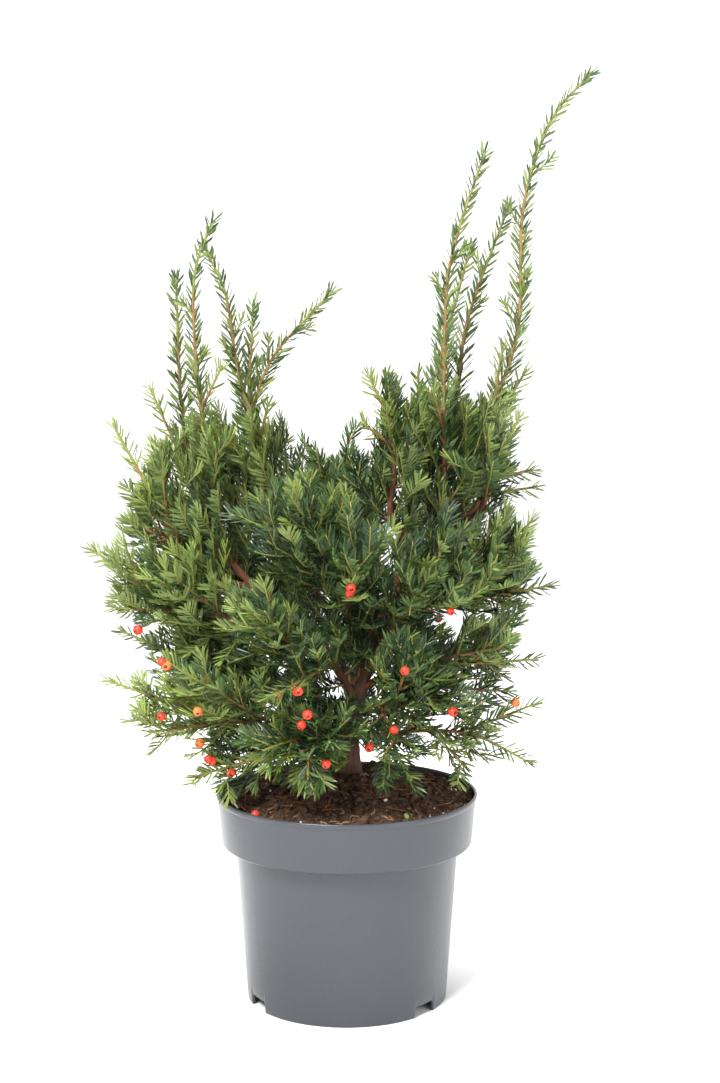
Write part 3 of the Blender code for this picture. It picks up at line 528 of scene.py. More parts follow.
class Tone(Enum):
    """The greens of the needles, from the shaded inside of the crown to the youngest tips."""

    DEEP = Finish("needle_deep", (0.014, 0.032, 0.009), 0.38, 0.5)
    BLUE = Finish("needle_blue", (0.023, 0.053, 0.017), 0.36, 0.5)
    MID = Finish("needle_mid", (0.044, 0.084, 0.020), 0.36, 0.5)
    OLIVE = Finish("needle_olive", (0.094, 0.132, 0.026), 0.38, 0.5)
    FRESH = Finish("needle_fresh", (0.160, 0.212, 0.042), 0.40, 0.45)
    LIME = Finish("needle_lime", (0.225, 0.300, 0.072), 0.44, 0.4)
    PALE = Finish("needle_pale_under", (0.075, 0.125, 0.040), 0.60, 0.3)
    PALE_FRESH = Finish("needle_fresh_under", (0.170, 0.230, 0.068), 0.60, 0.3)


class Bark(Enum):
    """The skins of the shoots, from the youngest to last year's wood, and the buds."""

    GREEN = Finish("shoot_green", (0.200, 0.205, 0.042), 0.50)
    AMBER = Finish("shoot_amber", (0.255, 0.140, 0.044), 0.60)
    BROWN = Finish("shoot_brown", (0.150, 0.062, 0.030), 0.70)
    BUD = Finish("bud_scale", (0.330, 0.150, 0.055), 0.60)


TONES = list(Tone)
BARKS = list(Bark)
BOUGH_BARK = MottledFinish(
    "bark_of_boughs", (0.265, 0.105, 0.052), 0.90, 0.25, dark=(0.085, 0.034, 0.019),
    fleck=(0.350, 0.180, 0.100), coarse=130.0, fine=620.0, stretch=0.28, smooth=0.65, bump=0.7,
    depth=0.6 * MM, follows_grain=True)
TRUNK_BARK = MottledFinish(
    "bark_of_trunk", (0.135, 0.070, 0.045), 0.95, 0.20, dark=(0.040, 0.022, 0.016),
    fleck=(0.210, 0.150, 0.110), coarse=90.0, fine=480.0, stretch=0.25, smooth=0.75, bump=0.8,
    depth=0.9 * MM, follows_grain=True)
PLASTIC = MottledFinish(
    "satin_plastic", (0.033, 0.037, 0.045), 0.28, 0.50, dark=(0.030, 0.034, 0.042),
    fleck=(0.039, 0.044, 0.053), coarse=14.0, fine=900.0, stretch=0.5, fleck_from=0.30, fleck_to=0.80,
    smooth=0.26, bump=0.0)
COMPOST = MottledFinish(
    "compost", (0.102, 0.058, 0.038), 1.0, 0.20, dark=(0.017, 0.009, 0.006),
    fleck=(0.260, 0.160, 0.105), coarse=150.0, fine=900.0, fleck_from=0.60, fleck_to=0.68,
    smooth=0.85, bump=0.9, depth=1.0 * MM)
CRUMB = MottledFinish(
    "compost_crumb", (0.125, 0.068, 0.040), 1.0, 0.20, dark=(0.024, 0.014, 0.009),
    fleck=(0.260, 0.160, 0.100), coarse=220.0, fine=1100.0, smooth=0.85, bump=0.8, depth=0.6 * MM)
FIBRE = Finish("compost_fibre", (0.150, 0.078, 0.040), 0.85, 0.2)
PALE_FIBRE = Finish("bark_sliver", (0.260, 0.165, 0.100), 0.85, 0.2)
PERLITE = Finish("perlite", (0.700, 0.690, 0.660), 0.90, 0.3)
DRY_NEEDLE = Finish("dry_needle", (0.280, 0.110, 0.030), 0.70, 0.3)
ARIL = Finish("aril_red", (0.640, 0.036, 0.016), 0.42, 0.4, 0.08)
ARIL_ORANGE = Finish("aril_orange", (0.800, 0.150, 0.030), 0.45, 0.5, 0.15)
ARIL_GREEN = Finish("aril_green", (0.180, 0.300, 0.070), 0.45)
SEED_COAT = Finish("seed", (0.045, 0.035, 0.018), 0.40)
FLOOR = Finish("studio_floor", (0.93, 0.93, 0.935), 0.80, 0.1)
WALL_PAINT = Finish("studio_wall", (0.50, 0.50, 0.50), 0.90, 0.1, glow=0.70)


class Region(Enum):
    """The parts of the crown that the foliage is joined into, one piece of each kind for each."""

    RIGHT_SHOOTS = "right_shoots"
    CROWN = "crown"
    RIGHT = "right"
    FRONT = "front"
    LEFT_SHOOTS = "left_shoots"
    LEFT = "left"
    BACK = "back"


@dataclass(frozen=True)
class Bough:
    """A tapering limb that leaves its parent at a share of the parent's length."""

    name: str
    parent: str
    at: float
    via: tuple
    tip: tuple
    root: float
    end: float


@dataclass(frozen=True)
class Fork:
    """A named side stem of a mass, which leaves its stem at a share of the stem's length."""

    at: float
    tip: tuple
    via: tuple = ()
    whip: float = 1.0


@dataclass(frozen=True)
class Mass:
    """A mass of foliage: its stem from its bough's tip, or from the trunk, and its forks.

    sun is how light its needles are drawn, from nought to one: partly their youth and partly painted
    light, higher for masses in the light and lower for those at the back and inside the crown. whip is
    the share of the stem above which it is a bare young shoot. side is the length of the lowest side
    shoots, in cm, and open is how far apart they stand, as a share of the usual.
    """

    name: str
    region: Region
    sun: float
    bough: str
    tip: tuple
    via: tuple = ()
    forks: tuple = ()
    whip: float = 1.0
    side: float = 6.5
    at: float = 1.0
    open: float = 1.0


TRUNK_VIA = ((0.5, 0.0, 30.5),)
TRUNK_TIP = (2.4, 0.2, 37.8)

BOUGHS = (
    Bough("bough_centre", "trunk", 1.0, ((5.0, 0.3, 43.1), (6.2, -0.2, 50.0)),
          (6.9, -0.8, 56.5), 7.2, 3.8),
    Bough("bough_crown", "bough_centre", 0.62, ((4.6, -2.4, 52.6),), (4.9, -3.6, 56.5), 3.8, 2.8),
    Bough("bough_right", "bough_centre", 0.22, ((8.8, 1.6, 46.4), (12.4, 2.5, 52.5)),
          (14.5, 2.5, 58.0), 5.6, 3.6),
    Bough("bough_right_inner", "bough_right", 0.24, ((10.0, -0.8, 51.5),), (10.2, -1.8, 57.5), 3.8, 3.0),
    Bough("bough_right_back", "bough_right", 0.36, ((9.8, 3.9, 51.5),), (10.8, 4.8, 57.0), 3.8, 3.0),
    Bough("bough_right_high", "bough_right", 0.60, ((13.8, -0.2, 52.5),), (15.0, -1.4, 55.0), 3.4, 2.8),
    Bough("bough_right_mid", "bough_right", 0.10, (), (9.8, -2.0, 43.0), 4.0, 2.9),
    Bough("bough_right_rear", "bough_right", 0.55, ((12.8, 5.4, 51.0),), (14.4, 7.2, 53.0), 3.4, 2.8),
    Bough("bough_right_low", "trunk", 0.66, (), (6.4, -1.9, 36.6), 4.2, 2.9),
    Bough("bough_front_right", "trunk", 0.82, (), (4.4, -4.1, 40.3), 4.2, 2.9),
    Bough("bough_front_right_low", "trunk", 0.52, (), (3.3, -3.8, 32.6), 3.8, 2.8),
    Bough("bough_left_main", "trunk", 0.68, ((-3.6, 0.0, 39.2), (-9.0, 0.0, 43.6)),
          (-13.2, 0.0, 48.4), 6.2, 3.4),
    Bough("bough_left_rear", "bough_left_main", 0.58, ((-12.2, 3.4, 46.4),),
          (-14.8, 5.0, 49.8), 3.6, 2.8),
    Bough("bough_left_inner", "trunk", 0.86, ((-2.8, 1.2, 43.0), (-7.4, 2.8, 50.4)),
          (-9.2, 3.0, 56.6), 4.8, 3.2),
    Bough("bough_left_outer", "bough_left_main", 0.74, ((-14.2, -1.8, 46.0),),
          (-16.4, -3.0, 48.2), 3.4, 2.8),
    Bough("bough_left_side", "bough_left_main", 0.36, (), (-8.8, -2.6, 40.8), 3.8, 2.9),
    Bough("bough_left_low", "trunk", 0.46, (), (-5.0, 0.1, 33.4), 4.2, 2.9),
    Bough("bough_left_front", "trunk", 0.30, (), (-4.4, -4.0, 29.8), 3.8, 2.8),
    Bough("bough_front", "trunk", 0.58, (), (-0.8, -4.3, 36.4), 4.0, 2.9),
    Bough("bough_front_centre", "trunk", 0.72, (), (0.3, -3.6, 41.2), 3.8, 2.8),
    Bough("bough_top", "trunk", 0.76, ((1.8, 2.8, 40.2),), (1.4, 4.0, 43.6), 4.0, 2.9),
    Bough("bough_back_left", "trunk", 0.58, (), (-2.2, 4.4, 36.3), 4.2, 2.9),
    Bough("bough_back_right", "trunk", 0.68, (), (5.6, 4.2, 39.5), 4.2, 2.9),
    Bough("bough_back_high", "bough_left_inner", 0.45, ((-7.6, 5.6, 50.2),), (-9.4, 8.0, 53.4), 3.6, 2.8),
)

MASSES = (
    Mass("whip_right_inner", Region.RIGHT_SHOOTS, 0.62, "bough_centre", (13.0, 1.4, 80.4),
         ((8.8, 0.4, 64.4), (10.5, 1.6, 71.0)), (Fork(0.20, (7.4, -2.2, 67.4)),
         Fork(0.10, (11.4, 1.6, 66.0))), whip=0.36, side=5.0, open=1.2),
    Mass("crown_inner", Region.CROWN, 0.55, "bough_crown", (2.2, -4.0, 67.2), ((4.3, -4.2, 62.4),),
         (Fork(0.25, (5.2, -4.4, 66.2)), Fork(0.30, (1.6, -7.0, 62.4))), side=5.5),
    Mass("whip_tall", Region.RIGHT_SHOOTS, 0.60, "bough_right", (25.4, 2.0, 98.2), ((15.4, 2.3, 62.5),
         (18.1, 2.0, 72.0), (18.5, 2.0, 84.1), (21.2, 2.0, 93.1)), (Fork(0.02, (16.4, 0.2, 70.0)),
         Fork(0.05, (19.2, 4.4, 67.4))), whip=0.28, side=4.5, open=1.2),
    Mass("whip_right", Region.RIGHT_SHOOTS, 0.64, "bough_right_inner", (14.2, -2.2, 89.8),
         ((10.1, -2.2, 65.0), (10.3, -2.2, 75.0), (11.3, -2.2, 81.0)), (Fork(0.10, (8.8, -6.0, 65.8)),),
         whip=0.34, side=5.0, open=1.2),
    Mass("whip_right_back", Region.RIGHT_SHOOTS, 0.56, "bough_right_back", (17.2, 4.2, 84.8),
         ((12.0, 4.8, 65.9), (13.0, 4.6, 73.0)), (Fork(0.10, (9.6, 8.4, 65.6)),), whip=0.36, side=5.0,
         open=1.2),
    Mass("right_high", Region.RIGHT, 0.54, "bough_right_high", (18.0, -2.4, 62.8), ((16.0, -2.0, 58.4),),
         (Fork(0.15, (19.4, -3.0, 57.2)), Fork(0.10, (14.4, -6.4, 57.6))), side=5.0),
    Mass("right_mid", Region.RIGHT, 0.64, "bough_right_mid", (19.2, -5.0, 52.4), ((12.6, -3.3, 43.8),
         (15.8, -4.2, 46.8)), (Fork(0.10, (21.4, -3.4, 45.2)), Fork(0.20, (15.6, -8.4, 49.2))), side=6.5,
         open=1.15),
    Mass("right_rear", Region.RIGHT, 0.52, "bough_right_rear", (18.6, 11.4, 60.4), ((16.2, 8.8, 55.4),),
         (Fork(0.15, (13.6, 12.6, 58.4)), Fork(0.10, (20.8, 7.0, 54.6))), side=6.0),
    Mass("right_low", Region.RIGHT, 0.76, "bough_right_low", (20.0, -3.6, 37.4), ((9.8, -2.9, 36.9),
         (14.4, -3.4, 37.0)), (Fork(0.10, (16.8, -8.4, 39.6)), Fork(0.25, (17.0, 0.8, 41.6))), side=6.8,
         open=1.6),
    Mass("front_right_high", Region.FRONT, 0.47, "bough_front_right", (10.4, -9.6, 50.0),
         ((5.9, -6.0, 42.4), (7.6, -7.6, 45.4)), (Fork(0.15, (7.2, -12.0, 45.6)),
         Fork(0.20, (11.6, -8.8, 44.8))), side=6.0),
    Mass("front_right", Region.FRONT, 0.41, "bough_front_right_low", (6.4, -10.6, 39.0),
         ((5.2, -7.8, 34.6),), (Fork(0.15, (10.6, -9.4, 34.4)), Fork(0.05, (5.6, -11.4, 28.0))),
         side=6.5, open=0.8),
    Mass("whip_left", Region.LEFT_SHOOTS, 0.76, "bough_left_main", (-13.9, 0.0, 83.0),
         ((-15.2, 0.0, 62.7), (-15.9, 0.0, 70.6), (-15.8, 0.0, 77.6)), (Fork(0.10, (-13.4, -3.6, 59.4)),
         Fork(0.44, (-13.0, -0.6, 68.0))), whip=0.42, side=3.8, open=1.4),
    Mass("whip_left_rear", Region.LEFT_SHOOTS, 0.74, "bough_left_rear", (-18.1, 3.8, 77.2),
         ((-17.0, 4.8, 58.0), (-17.9, 4.2, 66.0)), (Fork(0.16, (-21.4, 6.4, 65.6)),
         Fork(0.12, (-15.2, 8.6, 60.2))), whip=0.42, side=4.2, open=1.35),
    Mass("whip_left_inner", Region.LEFT_SHOOTS, 0.72, "bough_left_inner", (-15.0, 4.4, 80.2),
         ((-10.2, 3.4, 61.6), (-11.8, 4.2, 68.0), (-12.9, 4.4, 75.3)),
         (Fork(0.26, (-10.0, 4.6, 74.4), whip=0.3),
         Fork(0.22, (-1.6, 2.4, 75.6), ((-7.8, 3.0, 68.8),), whip=0.3), Fork(0.06, (-8.2, -0.8, 64.2))),
         whip=0.40, side=4.3, open=1.4),
    Mass("left_outer", Region.LEFT, 0.68, "bough_left_outer", (-24.0, -3.6, 61.8),
         ((-20.2, -3.6, 54.8),), (Fork(0.20, (-19.0, -6.8, 58.0)), Fork(0.10, (-22.8, -5.0, 52.2))),
         side=6.0, open=1.3),
    Mass("left_side", Region.LEFT, 0.72, "bough_left_side", (-26.4, -5.0, 49.2), ((-12.4, -4.6, 41.6),
         (-18.6, -5.2, 44.2)), (Fork(0.15, (-17.8, -9.2, 47.0)), Fork(0.30, (-24.0, -6.8, 43.4))),
         side=6.5),
    Mass("left_low", Region.LEFT, 0.62, "bough_left_low", (-24.2, 1.2, 39.6), ((-9.6, 0.6, 34.2),
         (-16.4, 1.2, 36.4)), (Fork(0.20, (-20.4, 5.0, 43.6)), Fork(0.10, (-17.8, -2.4, 38.6))),
         side=6.5),
    Mass("left_front", Region.LEFT, 0.78, "bough_left_front", (-24.4, -8.2, 36.0), ((-8.4, -6.8, 31.0),
         (-15.6, -8.4, 33.0)), (Fork(0.15, (-16.2, -12.2, 37.6)), Fork(0.35, (-20.2, -9.8, 31.0))),
         side=6.0),
    Mass("left_foot", Region.LEFT, 0.64, "trunk", (-15.4, -10.8, 26.6), ((-6.6, -5.6, 27.8),),
         (Fork(0.45, (-13.6, -5.4, 28.2)),), side=5.0, at=0.12, open=1.1),
    Mass("front_left", Region.FRONT, 0.51, "bough_front", (-8.0, -14.6, 44.2), ((-2.9, -7.4, 38.0),
         (-5.6, -10.8, 40.2)), (Fork(0.10, (-7.0, -16.0, 36.0)), Fork(0.20, (-10.8, -10.0, 42.4))),
         side=6.0),
    Mass("front_low", Region.FRONT, 0.49, "trunk", (-8.2, -15.6, 30.4), ((-2.4, -6.8, 30.6),),
         (Fork(0.35, (-1.6, -15.4, 31.2)), Fork(0.55, (-3.8, -15.8, 27.6))), side=6.5, at=0.40, open=0.8),
    Mass("front_centre", Region.CROWN, 0.46, "bough_front_centre", (-4.2, -10.8, 55.0),
         ((-1.2, -5.6, 45.0), (-2.6, -8.0, 49.6)), (Fork(0.10, (1.2, -11.6, 48.4)),
         Fork(0.25, (-8.6, -8.4, 52.6))), side=6.0, open=0.9),
    Mass("centre_top", Region.CROWN, 0.38, "bough_top", (0.2, 6.4, 60.4), ((0.2, 4.8, 48.6),
         (-0.4, 5.2, 54.0)), (Fork(0.20, (-4.6, 2.4, 60.0)), Fork(0.12, (3.6, 8.8, 56.6))), side=6.5),
    Mass("back_left", Region.BACK, 0.4, "bough_back_left", (-14.6, 14.2, 47.8), ((-6.0, 7.2, 39.6),
         (-10.2, 10.6, 43.0)), (Fork(0.15, (-6.2, 14.6, 48.6)), Fork(0.20, (-18.4, 8.6, 46.8))),
         side=7.0),
    Mass("back_right", Region.BACK, 0.4, "bough_back_right", (14.2, 13.8, 50.4), ((8.4, 7.2, 42.4),
         (11.2, 10.2, 45.8)), (Fork(0.15, (7.4, 13.8, 50.8)), Fork(0.15, (18.4, 8.4, 46.2))), side=7.0),
    Mass("back_centre", Region.BACK, 0.36, "trunk", (1.6, 17.0, 42.0), ((2.0, 7.0, 35.4),),
         (Fork(0.40, (-4.8, 15.4, 37.6)), Fork(0.50, (7.4, 14.6, 38.0))), side=6.5, at=0.52),
    Mass("back_left_low", Region.BACK, 0.38, "trunk", (-17.6, 11.2, 35.0), ((-8.2, 6.4, 32.0),),
         (Fork(0.40, (-9.4, 15.2, 31.8)), Fork(0.55, (-18.6, 5.6, 31.6))), side=6.5, at=0.36),
    Mass("back_right_low", Region.BACK, 0.38, "trunk", (17.2, 10.2, 35.4), ((8.6, 5.4, 32.2),),
         (Fork(0.40, (9.6, 14.4, 31.6)), Fork(0.55, (17.8, 4.4, 32.4))), side=6.5, at=0.42),
    Mass("right_foot", Region.RIGHT, 0.86, "trunk", (19.2, -4.6, 26.6), ((7.4, -3.0, 29.6),
         (13.4, -4.2, 29.4)), (Fork(0.45, (12.2, -8.6, 27.2)), Fork(0.60, (19.8, -4.4, 32.8))), side=5.8,
         at=0.26, open=1.6),
    Mass("back_high", Region.CROWN, 0.4, "bough_back_high", (-13.6, 12.0, 60.4), ((-11.4, 9.8, 56.4),),
         (Fork(0.15, (-6.6, 11.6, 59.4)), Fork(0.12, (-14.8, 12.4, 54.2))), side=6.5),
)

# Where berries hang.
RED_BERRIES = (
    (-19.4, -9.0, 40.9), (-17.4, -10.0, 38.2), (-18.0, -10.5, 33.5), (-11.8, -13.0, 29.7),
    (-12.4, -13.0, 27.6), (-10.6, -13.0, 27.1), (-5.6, -14.0, 37.3), (-6.7, -14.0, 37.1),
    (-3.3, -14.5, 36.8), (-3.7, -14.8, 34.3), (-4.5, -14.8, 34.6), (-5.1, -15.0, 32.3),
    (-2.1, -14.5, 28.9), (-0.5, -12.0, 46.1), (-1.2, -12.0, 45.2), (2.0, -12.0, 29.5),
    (4.4, -10.0, 37.9), (4.0, -12.0, 31.9), (9.5, -9.0, 43.1), (9.6, -10.0, 33.4),
    (-9.8, 13.2, 37.4), (10.6, 12.4, 39.2), (3.0, 14.2, 34.4),
)
ORANGE_BERRIES = ((-16.5, -10.0, 38.6), (-13.2, -12.0, 33.9), (-13.1, -12.5, 30.7), (15.4, -6.0, 33.4))
GREEN_BERRIES = ((-7.4, -13.5, 28.8), (6.9, -11.0, 29.8))

# The crown's outline from the front and from the side: height, left, right, front and back.
OUTLINE = (
    (20.0, -15.0, 17.5, -14.5, 14.5), (24.0, -18.0, 18.5, -15.5, 15.0), (27.0, -21.5, 19.0, -17.0, 16.5),
    (30.0, -24.2, 18.6, -17.5, 17.6), (34.0, -25.0, 19.2, -17.8, 18.2), (38.0, -23.4, 19.4, -17.8, 18.6),
    (42.0, -25.0, 21.2, -17.4, 18.6), (46.0, -26.8, 21.6, -17.0, 18.4), (50.0, -27.0, 20.4, -16.0, 18.0),
    (54.0, -24.2, 19.4, -14.6, 17.0), (58.0, -24.4, 19.2, -12.8, 15.8), (62.0, -24.8, 18.8, -10.8, 14.0),
    (66.0, -21.8, 18.4, -9.0, 11.5), (70.0, -19.6, 18.2, -6.0, 9.0), (74.0, -19.6, 20.0, -4.5, 7.5),
    (80.0, -19.6, 21.0, -4.5, 7.0), (100.0, -19.6, 28.0, -4.5, 7.0),
)
# The height that side shoots reach, by how far they stand to the left or right.
TOPS = (
    (-27.0, 51.0), (-24.0, 62.0), (-22.5, 58.0), (-21.0, 61.0), (-19.5, 68.0), (-18.0, 63.0), (-15.5, 68.0),
    (-13.0, 65.0), (-11.0, 69.0), (-9.0, 65.0), (-7.5, 67.0), (-5.0, 60.5), (-3.5, 64.0), (-1.5, 60.0),
    (0.5, 64.5), (2.5, 61.0), (4.0, 71.0), (6.0, 66.0), (8.0, 70.0), (10.5, 66.0), (13.0, 70.0),
    (16.0, 67.0), (17.5, 68.0), (19.0, 60.0), (22.0, 48.0),
)
# The slot of their flesh, and where they lie on the soil.
FALLEN_BERRIES = ((0, -9.4, -8.6), (2, 6.2, -9.6))


def at_share(path: np.ndarray, share: float) -> np.ndarray:
    """The point at a share of the length of a path whose points are evenly spaced.

    Args:
        path: the path.
        share: the share of its length.

    Returns:
        The point, on the straight line between its two neighbours.
    """
    place = share * (len(path) - 1)
    low = min(int(place), len(path) - 2)
    return path[low] + (place - low) * (path[low + 1] - path[low])


def spans_of(paths: list[np.ndarray]) -> tuple[np.ndarray, np.ndarray]:
    """The straight spans of some paths, as their starts and their ends."""
    return np.vstack([p[:-1] for p in paths]), np.vstack([p[1:] for p in paths])


def distances(points: np.ndarray, spans: tuple[np.ndarray, np.ndarray]) -> np.ndarray:
    """Distance from each point to each span: to the nearest place on the span, held to its ends.

    Args:
        points: the points.
        spans: the starts and the ends of the spans.

    Returns:
        A row for each point, with a distance for each span.
    """
    start, end = spans
    run = end - start
    offset = points[:, None] - start[None]
    share = np.clip((offset * run).sum(-1) / (run * run).sum(-1), 0, 1)
    return np.linalg.norm(offset - share[..., None] * run, axis=-1)


class Order(Enum):
    """How far a shoot is from the limbs."""

    STEM = 0
    SIDE = 1
    FINE = 2
    TUFT = 3


@dataclass
class Limb:
    """The centre line and radii of the trunk or a bough, and its lead from another's tip."""

    path: np.ndarray
    radii: np.ndarray
    lead: np.ndarray | None = None

    def heading(self) -> np.ndarray:
        """The direction at the tip."""
        return unit(self.path[-1] - self.path[-2])


@dataclass
class Shoot:
    """A stem, fork or side shoot.

    owner is its mass's number, whip the share of its length above which it is a bare young
    shoot, bare the length at its root with no needles, and sun how light its needles are drawn,
    partly by its youth and partly as painted light.
    """

    path: np.ndarray
    radii: np.ndarray
    owner: int
    order: Order
    sun: float
    whip: float = 1.0
    lead: np.ndarray | None = None
    bare: float = 0.0

    @property
    def tall(self) -> bool:
        """Whether its upper part is a bare young shoot."""
        return self.whip < 1.0

    def length(self) -> float:
        """How long it is."""
        return run_of(self.path)[-1]


@dataclass
class Limbs:
    """The trunk and boughs, with the relief of their bark."""

    trunk_foot: float = 11.5 * MM
    trunk_tip: float = 8.5 * MM
    root_flare: float = 6.5 * MM
    flare_height: float = 16 * MM
    foot_height: float = 0.2453
    bough_step: float = 3.5 * MM
    trunk_step: float = 2.5 * MM
    collar: float = 0.22
    collar_length: float = 0.18
    trunk_sides: int = 44
    bough_sides: int = 18
    trunk_flake: float = 0.75 * MM  # how far a flake of the bark stands up
    bough_flake: float = 0.30 * MM
    flake_size: float = 2.6 * MM
    flake_length: float = 0.28  # the share that the distance along a limb counts for
    knob_size: float = 6.5 * MM
    knob_from: float = 0.35
    wave_size: float = 22 * MM
    trunk_seed: float = 3.1  # shifts the noise of the bark
    bough_seed: float = 11.7
    rows: dict[str, Limb] = field(default_factory=dict)

    def trunk(self) -> Limb:
        """The trunk's centre line and radii: a straight taper, with an exponential root flare.

        Returns:
            The limb.
        """
        foot = np.array((0.0, 0.0, self.foot_height))
        points = [foot, *(np.array(p) * CM for p in TRUNK_VIA), np.array(TRUNK_TIP) * CM]
        path = smooth_path(points, self.trunk_step, UP)
        radii = np.linspace(self.trunk_foot, self.trunk_tip, len(path))
        return Limb(path, radii + self.root_flare * np.exp(-(path[:, 2] - foot[2]) / self.flare_height), UP)

    def bough(self, row: Bough) -> Limb:
        """A bough's centre line and radii.

        Args:
            row: its places. The radius falls evenly along it, and a collar swells its root.

        Returns:
            The limb.
        """
        parent = self.rows[row.parent]
        lead = parent.heading() if row.at == 1.0 else None
        points = [at_share(parent.path, row.at), *(np.array(p) * CM for p in (*row.via, row.tip))]
        path = smooth_path(points, self.bough_step, lead)
        share = np.linspace(0, 1, len(path))
        swell = 1 + self.collar * np.exp(-share / self.collar_length) * (row.at < 1.0)
        return Limb(path, np.linspace(row.root, row.end, len(path)) * swell * MM, lead)

    def relief(self, limb: Limb, sides: int, height: float, seed: float) -> np.ndarray:
        """The bark's relief: long flakes, small knobs and a slow unevenness of the limb.

        Noise is read at the angle's cosine and sine and at the distance along the limb, which
        is shortened so that the flakes are long.

        Args:
            limb: the limb.
            sides: points round it.
            height: how far a flake stands up.
            seed: shifts the noise.

        Returns:
            The relief at each ring and side.
        """
        run = run_of(limb.path)
        size = limb.radii.mean()
        place = round_and_along(run, size, sides)
        flakes = lattice_noise(place * (1, 1, self.flake_length), self.flake_size, seed)
        knobs = np.clip(lattice_noise(place, self.knob_size, seed + 7) - self.knob_from, 0, 1)
        slow = lattice_noise(place, self.wave_size, seed + 13)
        shape = height * (0.55 * flakes + 1.6 * knobs) + 0.09 * size * slow
        return shape.reshape(len(run), sides)

    def build(self) -> None:
        """Makes one piece of the trunk and one of the boughs, which stand for their nodes."""
        self.rows["trunk"] = self.trunk()
        for row in BOUGHS:
            self.rows[row.name] = self.bough(row)
        boughs = [row.name for row in BOUGHS]
        trunk_bark = (self.trunk_sides, self.trunk_flake, self.trunk_seed)
        bough_bark = (self.bough_sides, self.bough_flake, self.bough_seed)
        for name, bark, nodes, (sides, flake, seed) in (
                ("trunk_bark", TRUNK_BARK, ["trunk"], trunk_bark),
                ("bough_bark", BOUGH_BARK, boughs, bough_bark)):
            surface = Surface()
            for number, limb in enumerate(self.rows[node] for node in nodes):
                relief = self.relief(limb, sides, flake, seed + number)
                add_tube(surface, limb.path, limb.radii, sides, lead=limb.lead, relief=relief)
            surface.build(name, [bark], name, *nodes)


def soil_height(x: np.ndarray, y: np.ndarray) -> np.ndarray:
    """The height of the soil's mound: a bell curve on the pot's fill, with slow lumps.

    Args:
        x: places across the soil.
        y: places along it.

    Returns:
        The height at each place.
    """
    away = np.clip(np.hypot(x, y) - SOIL_FLAT, 0, None)
    mound = (SOIL_TOP - SOIL_EDGE) * np.exp(-((away / MOUND_SPREAD) ** 2))
    lumps = np.sin(61 * x + 1.3) * np.cos(53 * y + 0.4) + 0.6 * np.sin(127 * x - 97 * y)
    return SOIL_EDGE + mound + SOIL_LUMP * lumps * np.clip(away / SOIL_FLAT, 0, 1)


class Space:
    """Tells where a mass's shoots may grow: nearest to its own stems, clear of limbs and soil."""

    MINGLE = 20 * MM  # how far a shoot may reach into a neighbour's space
    MARGIN = 2.2 * MM  # what it keeps from a limb or the soil
    SLACK = 3 * MM  # how far it may stand out of the solids' box
    SIDE_GAP = 2 * MM  # what it keeps from the crown's sides, besides a share of its inset
    SIDE_SHARE = 0.50

    def __init__(self, stems: list[Shoot], limbs: dict[str, Limb], reach: Corners) -> None:
        """Takes what the crown is shared out by.

        Args:
            stems: every mass's stem and forks.
            limbs: the trunk and boughs by name.
            reach: the corners of the box of the solids.
        """
        coarse = [stem.path[::2] for stem in stems]
        self.stem_spans = spans_of(coarse)
        self.owners = np.repeat([stem.owner for stem in stems], [len(path) - 1 for path in coarse])
        self.limb_spans = spans_of([limb.path[::5] for limb in limbs.values()])
        self.limb_radii = np.concatenate([limb.radii[::5][:-1] for limb in limbs.values()])
        self.reach = reach
        self.tops = np.array(TOPS).T * CM
        self.outline = np.array(OUTLINE).T * CM

    def clear(self, points: np.ndarray) -> np.ndarray:
        """Whether each point is in the solids' box and clear of limbs, soil and the pot's wall.

        Args:
            points: array of rows x, y, z.

        Returns:
            One truth for each point.
        """
        limbs = (distances(points, self.limb_spans) - self.limb_radii).min(1)
        x, y, z = points.T
        radius, inner = np.hypot(x, y), RIM_RADIUS - BAND_WALL
        ground = np.where(radius < inner, soil_height(x, y), 0.0)
        on_wall = (radius < RIM_RADIUS + self.MARGIN) & (radius > inner - self.MARGIN)
        ground = np.where(on_wall, RIM_HEIGHT, ground)
        low, high = self.reach
        near = ((points > low - self.SLACK) & (points < high + self.SLACK)).all(1)
        return near & (z > ground + self.MARGIN) & (limbs > self.MARGIN)

    def holds(self, points: np.ndarray, owner: int, inset: float) -> np.ndarray:
        """Whether each point lies in a mass's own space, inside the crown's outline, and is clear.

        Args:
            points: array of rows x, y, z.
            owner: the mass's number.
            inset: what the points keep from the crown's top, and half of it from its sides.

        Returns:
            One truth for each point.
        """
        away = distances(points, self.stem_spans)
        mine = away[:, self.owners == owner].min(1)
        others = away[:, self.owners != owner].min(1)
        x, y, z = points.T
        inside = z < np.interp(x, *self.tops) - inset
        left, right, front, back = (np.interp(z, self.outline[0], side) for side in self.outline[1:])
        gap = self.SIDE_GAP + self.SIDE_SHARE * inset
        inside &= (x > left + gap) & (x < right - gap) & (y > front + gap) & (y < back - gap)
        return inside & (mine - others < self.MINGLE) & self.clear(points)


@dataclass(frozen=True)
class Habit:
    """How side shoots leave their parent."""

    order: Order
    spacing: float
    first: float  # distance of the first from the parent's root
    last: float  # share of the parent's length at which they stop
    angle: float  # degrees from the parent
    spread: float  # how much that varies
    shortening: float  # how much shorter the last ones are
    follow: float  # turn towards the parent's direction, for each length of the shoot
    rise: float  # and upwards, as a share of what the height above the pot gives
    shortest: float
    flat: bool = False  # whether they leave on two sides rather than by turns all round
    free: bool = False  # whether they may grow into the space of other masses


